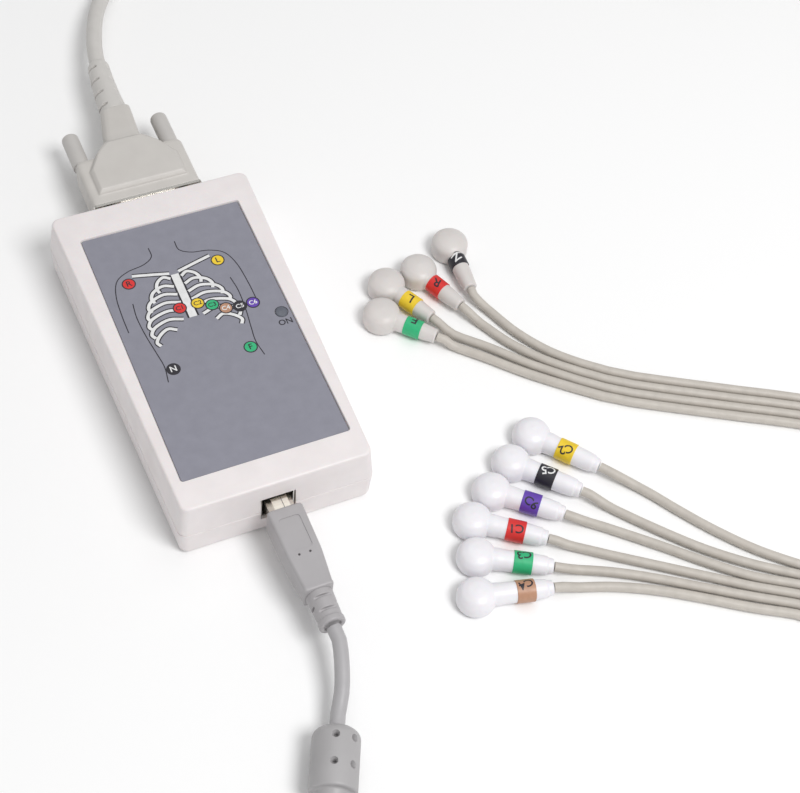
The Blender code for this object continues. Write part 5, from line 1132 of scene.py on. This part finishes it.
# %% Snaps, bands and codes
BAND_MIDDLES = {"n": 0.0079, "r": 0.0093, "l": 0.0112, "f": 0.0120, "c2": 0.0127, "c5": 0.0125, "c6": 0.0134,
                "c1": 0.0142, "c3": 0.0147, "c4": 0.0155}
for kind in (LIMB_KIND, CHEST_KIND):
    for name, ink, letter, place, heading, _, _, (about, spin) in kind["leads"]:
        build, barrel_matrix = snap(kind, place, heading)
        head = piece(build, f"connector_{name}", "patient_cable", kind["slot"], [f"snap_{name}"], 60)
        radius = kind["barrel"] / 2 + BAND_LIFT
        middle = BAND_MIDDLES[name]
        sleeve = band(barrel_matrix, radius, middle, BAND_WIDTH)
        sleeve = piece(sleeve, f"band_{name}", "patient_cable", None, material=INKS[ink])
        size = SHORT_CODE_SIZE if len(name) == 1 else LONG_CODE_SIZE
        marks = band_letters(name.upper(), size, barrel_matrix, radius + CODE_LIFT, middle, about, spin)
        marks = piece(marks, f"code_{name}", "patient_cable", None, material=INKS[letter])

# %% [markdown]
# ## Yoke, ties and the plug for the computer
# These lie outside the photograph. They are ordinary parts of their kind, softened from the CAD solids.

# %% Pieces outside the view
yoke = piece(
    moulded(copy_of("yoke"), 0.00035, 4), "yoke_moulding", "patient_cable", "yoke_beige", ["yoke"], 80
)
for node, body in (("usb_cable_tie", "usb_cable"), ("trunk_cable_tie", "patient_cable")):
    piece(moulded(copy_of(node), 0.00020, 2), f"{node}_band", body, "tie_black", [node], 80)
computer_grip = moulded(copy_of("computer_plug_grip"), 0.00025, 4)
computer_grip = piece(
    computer_grip, "computer_grip", "usb_cable", "usb_grip_grey", ["computer_plug_grip"], 80
)
shell_low, shell_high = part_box("computer_plug_shell")
tongue_length = 0.0150
window_behind = 0.0062
tongue_middle = (
    shell_low[0] + tongue_length / 2 + 0.0006, (shell_low[1] + shell_high[1]) / 2, shell_high[2] - 0.0015
)
computer_tongue = piece(
    block(
        (tongue_length, 0.0108, 0.0019), tongue_middle
    ), "computer_plug_tongue", "usb_cable", "socket_tongue"
)
# Thin dark plates lie where the two openings in the plug's shell are: painted shade for the dark inside that the
# openings would show.
windows = []
for across in (-0.0026, 0.0026):
    at = (shell_high[0] - window_behind, tongue_middle[1] + across, shell_high[2])
    windows.append(block((0.0022, 0.0024, 0.00008), at))
both_window_shades = joined(*windows)
computer_window_shades = piece(
    both_window_shades, "computer_plug_window_shades", "usb_cable", None, material=MATERIALS["dark_seam_and_painted_shade"]
)
print("far pieces made")

# %% [markdown]
# ## Floor and light
# The object lies on white paper in a small studio: a wide soft light above, and a second one low at the
# front right, whose soft shadow falls to the back left as in the photograph.

# %% Stage
FLOOR_SIZE = 3.0
FLOOR_DROP = 0.00005
floor_build = bmesh.new()
bmesh.ops.create_grid(floor_build, x_segments=1, y_segments=1, size=FLOOR_SIZE)
floor_mesh = bpy.data.meshes.new("floor")
floor_build.to_mesh(floor_mesh)
floor_build.free()
floor = linked("floor", floor_mesh)
floor.location = (0, 0, -FLOOR_DROP)
floor_mesh.materials.append(
    surface("floor_paper", (0.97, 0.97, 0.97), 0.85, mottle=0.0, grain=0.0, specular=0.0)
)
floor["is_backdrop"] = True


def area_light(name, azimuth, elevation, distance, size, power, target=(0.06, -0.02, 0.0)):
    light = bpy.data.lights.new(name, "AREA")
    light.shape = "DISK"
    light.size = size
    light.energy = power
    a, e = math.radians(azimuth), math.radians(elevation)
    away = Vector((math.cos(a) * math.cos(e), math.sin(a) * math.cos(e), math.sin(e)))
    lamp = linked(name, light)
    lamp.location = Vector(target) + away * distance
    lamp.rotation_mode = "QUATERNION"
    lamp.rotation_quaternion = away.to_track_quat("Z", "Y")


area_light("key", -68, 58, 1.3, 0.55, 9.5)
area_light("top", 60, 75, 1.5, 1.4, 3.5)
world = bpy.data.worlds.new("studio")
bpy.context.scene.world = world
world.use_nodes = True
sky = world.node_tree.nodes["Background"]
sky.inputs["Color"].default_value = (1, 1, 1, 1)
sky.inputs["Strength"].default_value = 0.42
backdrop = world.node_tree.nodes.new("ShaderNodeBackground")
backdrop.inputs["Color"].default_value = (1, 1, 1, 1)
backdrop.inputs["Strength"].default_value = 1.0
path = world.node_tree.nodes.new("ShaderNodeLightPath")
choice = world.node_tree.nodes.new("ShaderNodeMixShader")
world.node_tree.links.new(path.outputs["Is Camera Ray"], choice.inputs["Fac"])
world.node_tree.links.new(sky.outputs[0], choice.inputs[1])
world.node_tree.links.new(backdrop.outputs[0], choice.inputs[2])
world.node_tree.links.new(choice.outputs[0], world.node_tree.nodes["World Output"].inputs["Surface"])
bpy.context.scene.view_settings.view_transform = "Standard"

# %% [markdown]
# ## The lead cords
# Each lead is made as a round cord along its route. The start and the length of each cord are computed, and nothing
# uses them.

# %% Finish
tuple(usb_route[0])
length_of(usb_route)
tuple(trunk_route[0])
length_of(
        trunk_route
    )
for name, points in lead_cords.items():
    lead = cord_curve(
        f"lead_cord_{name}", points, LEAD_DIAMETER, "patient_cable", "lead_taupe", f"lead_{name}"
    )
    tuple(points[0])
    length_of(points)
low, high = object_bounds()
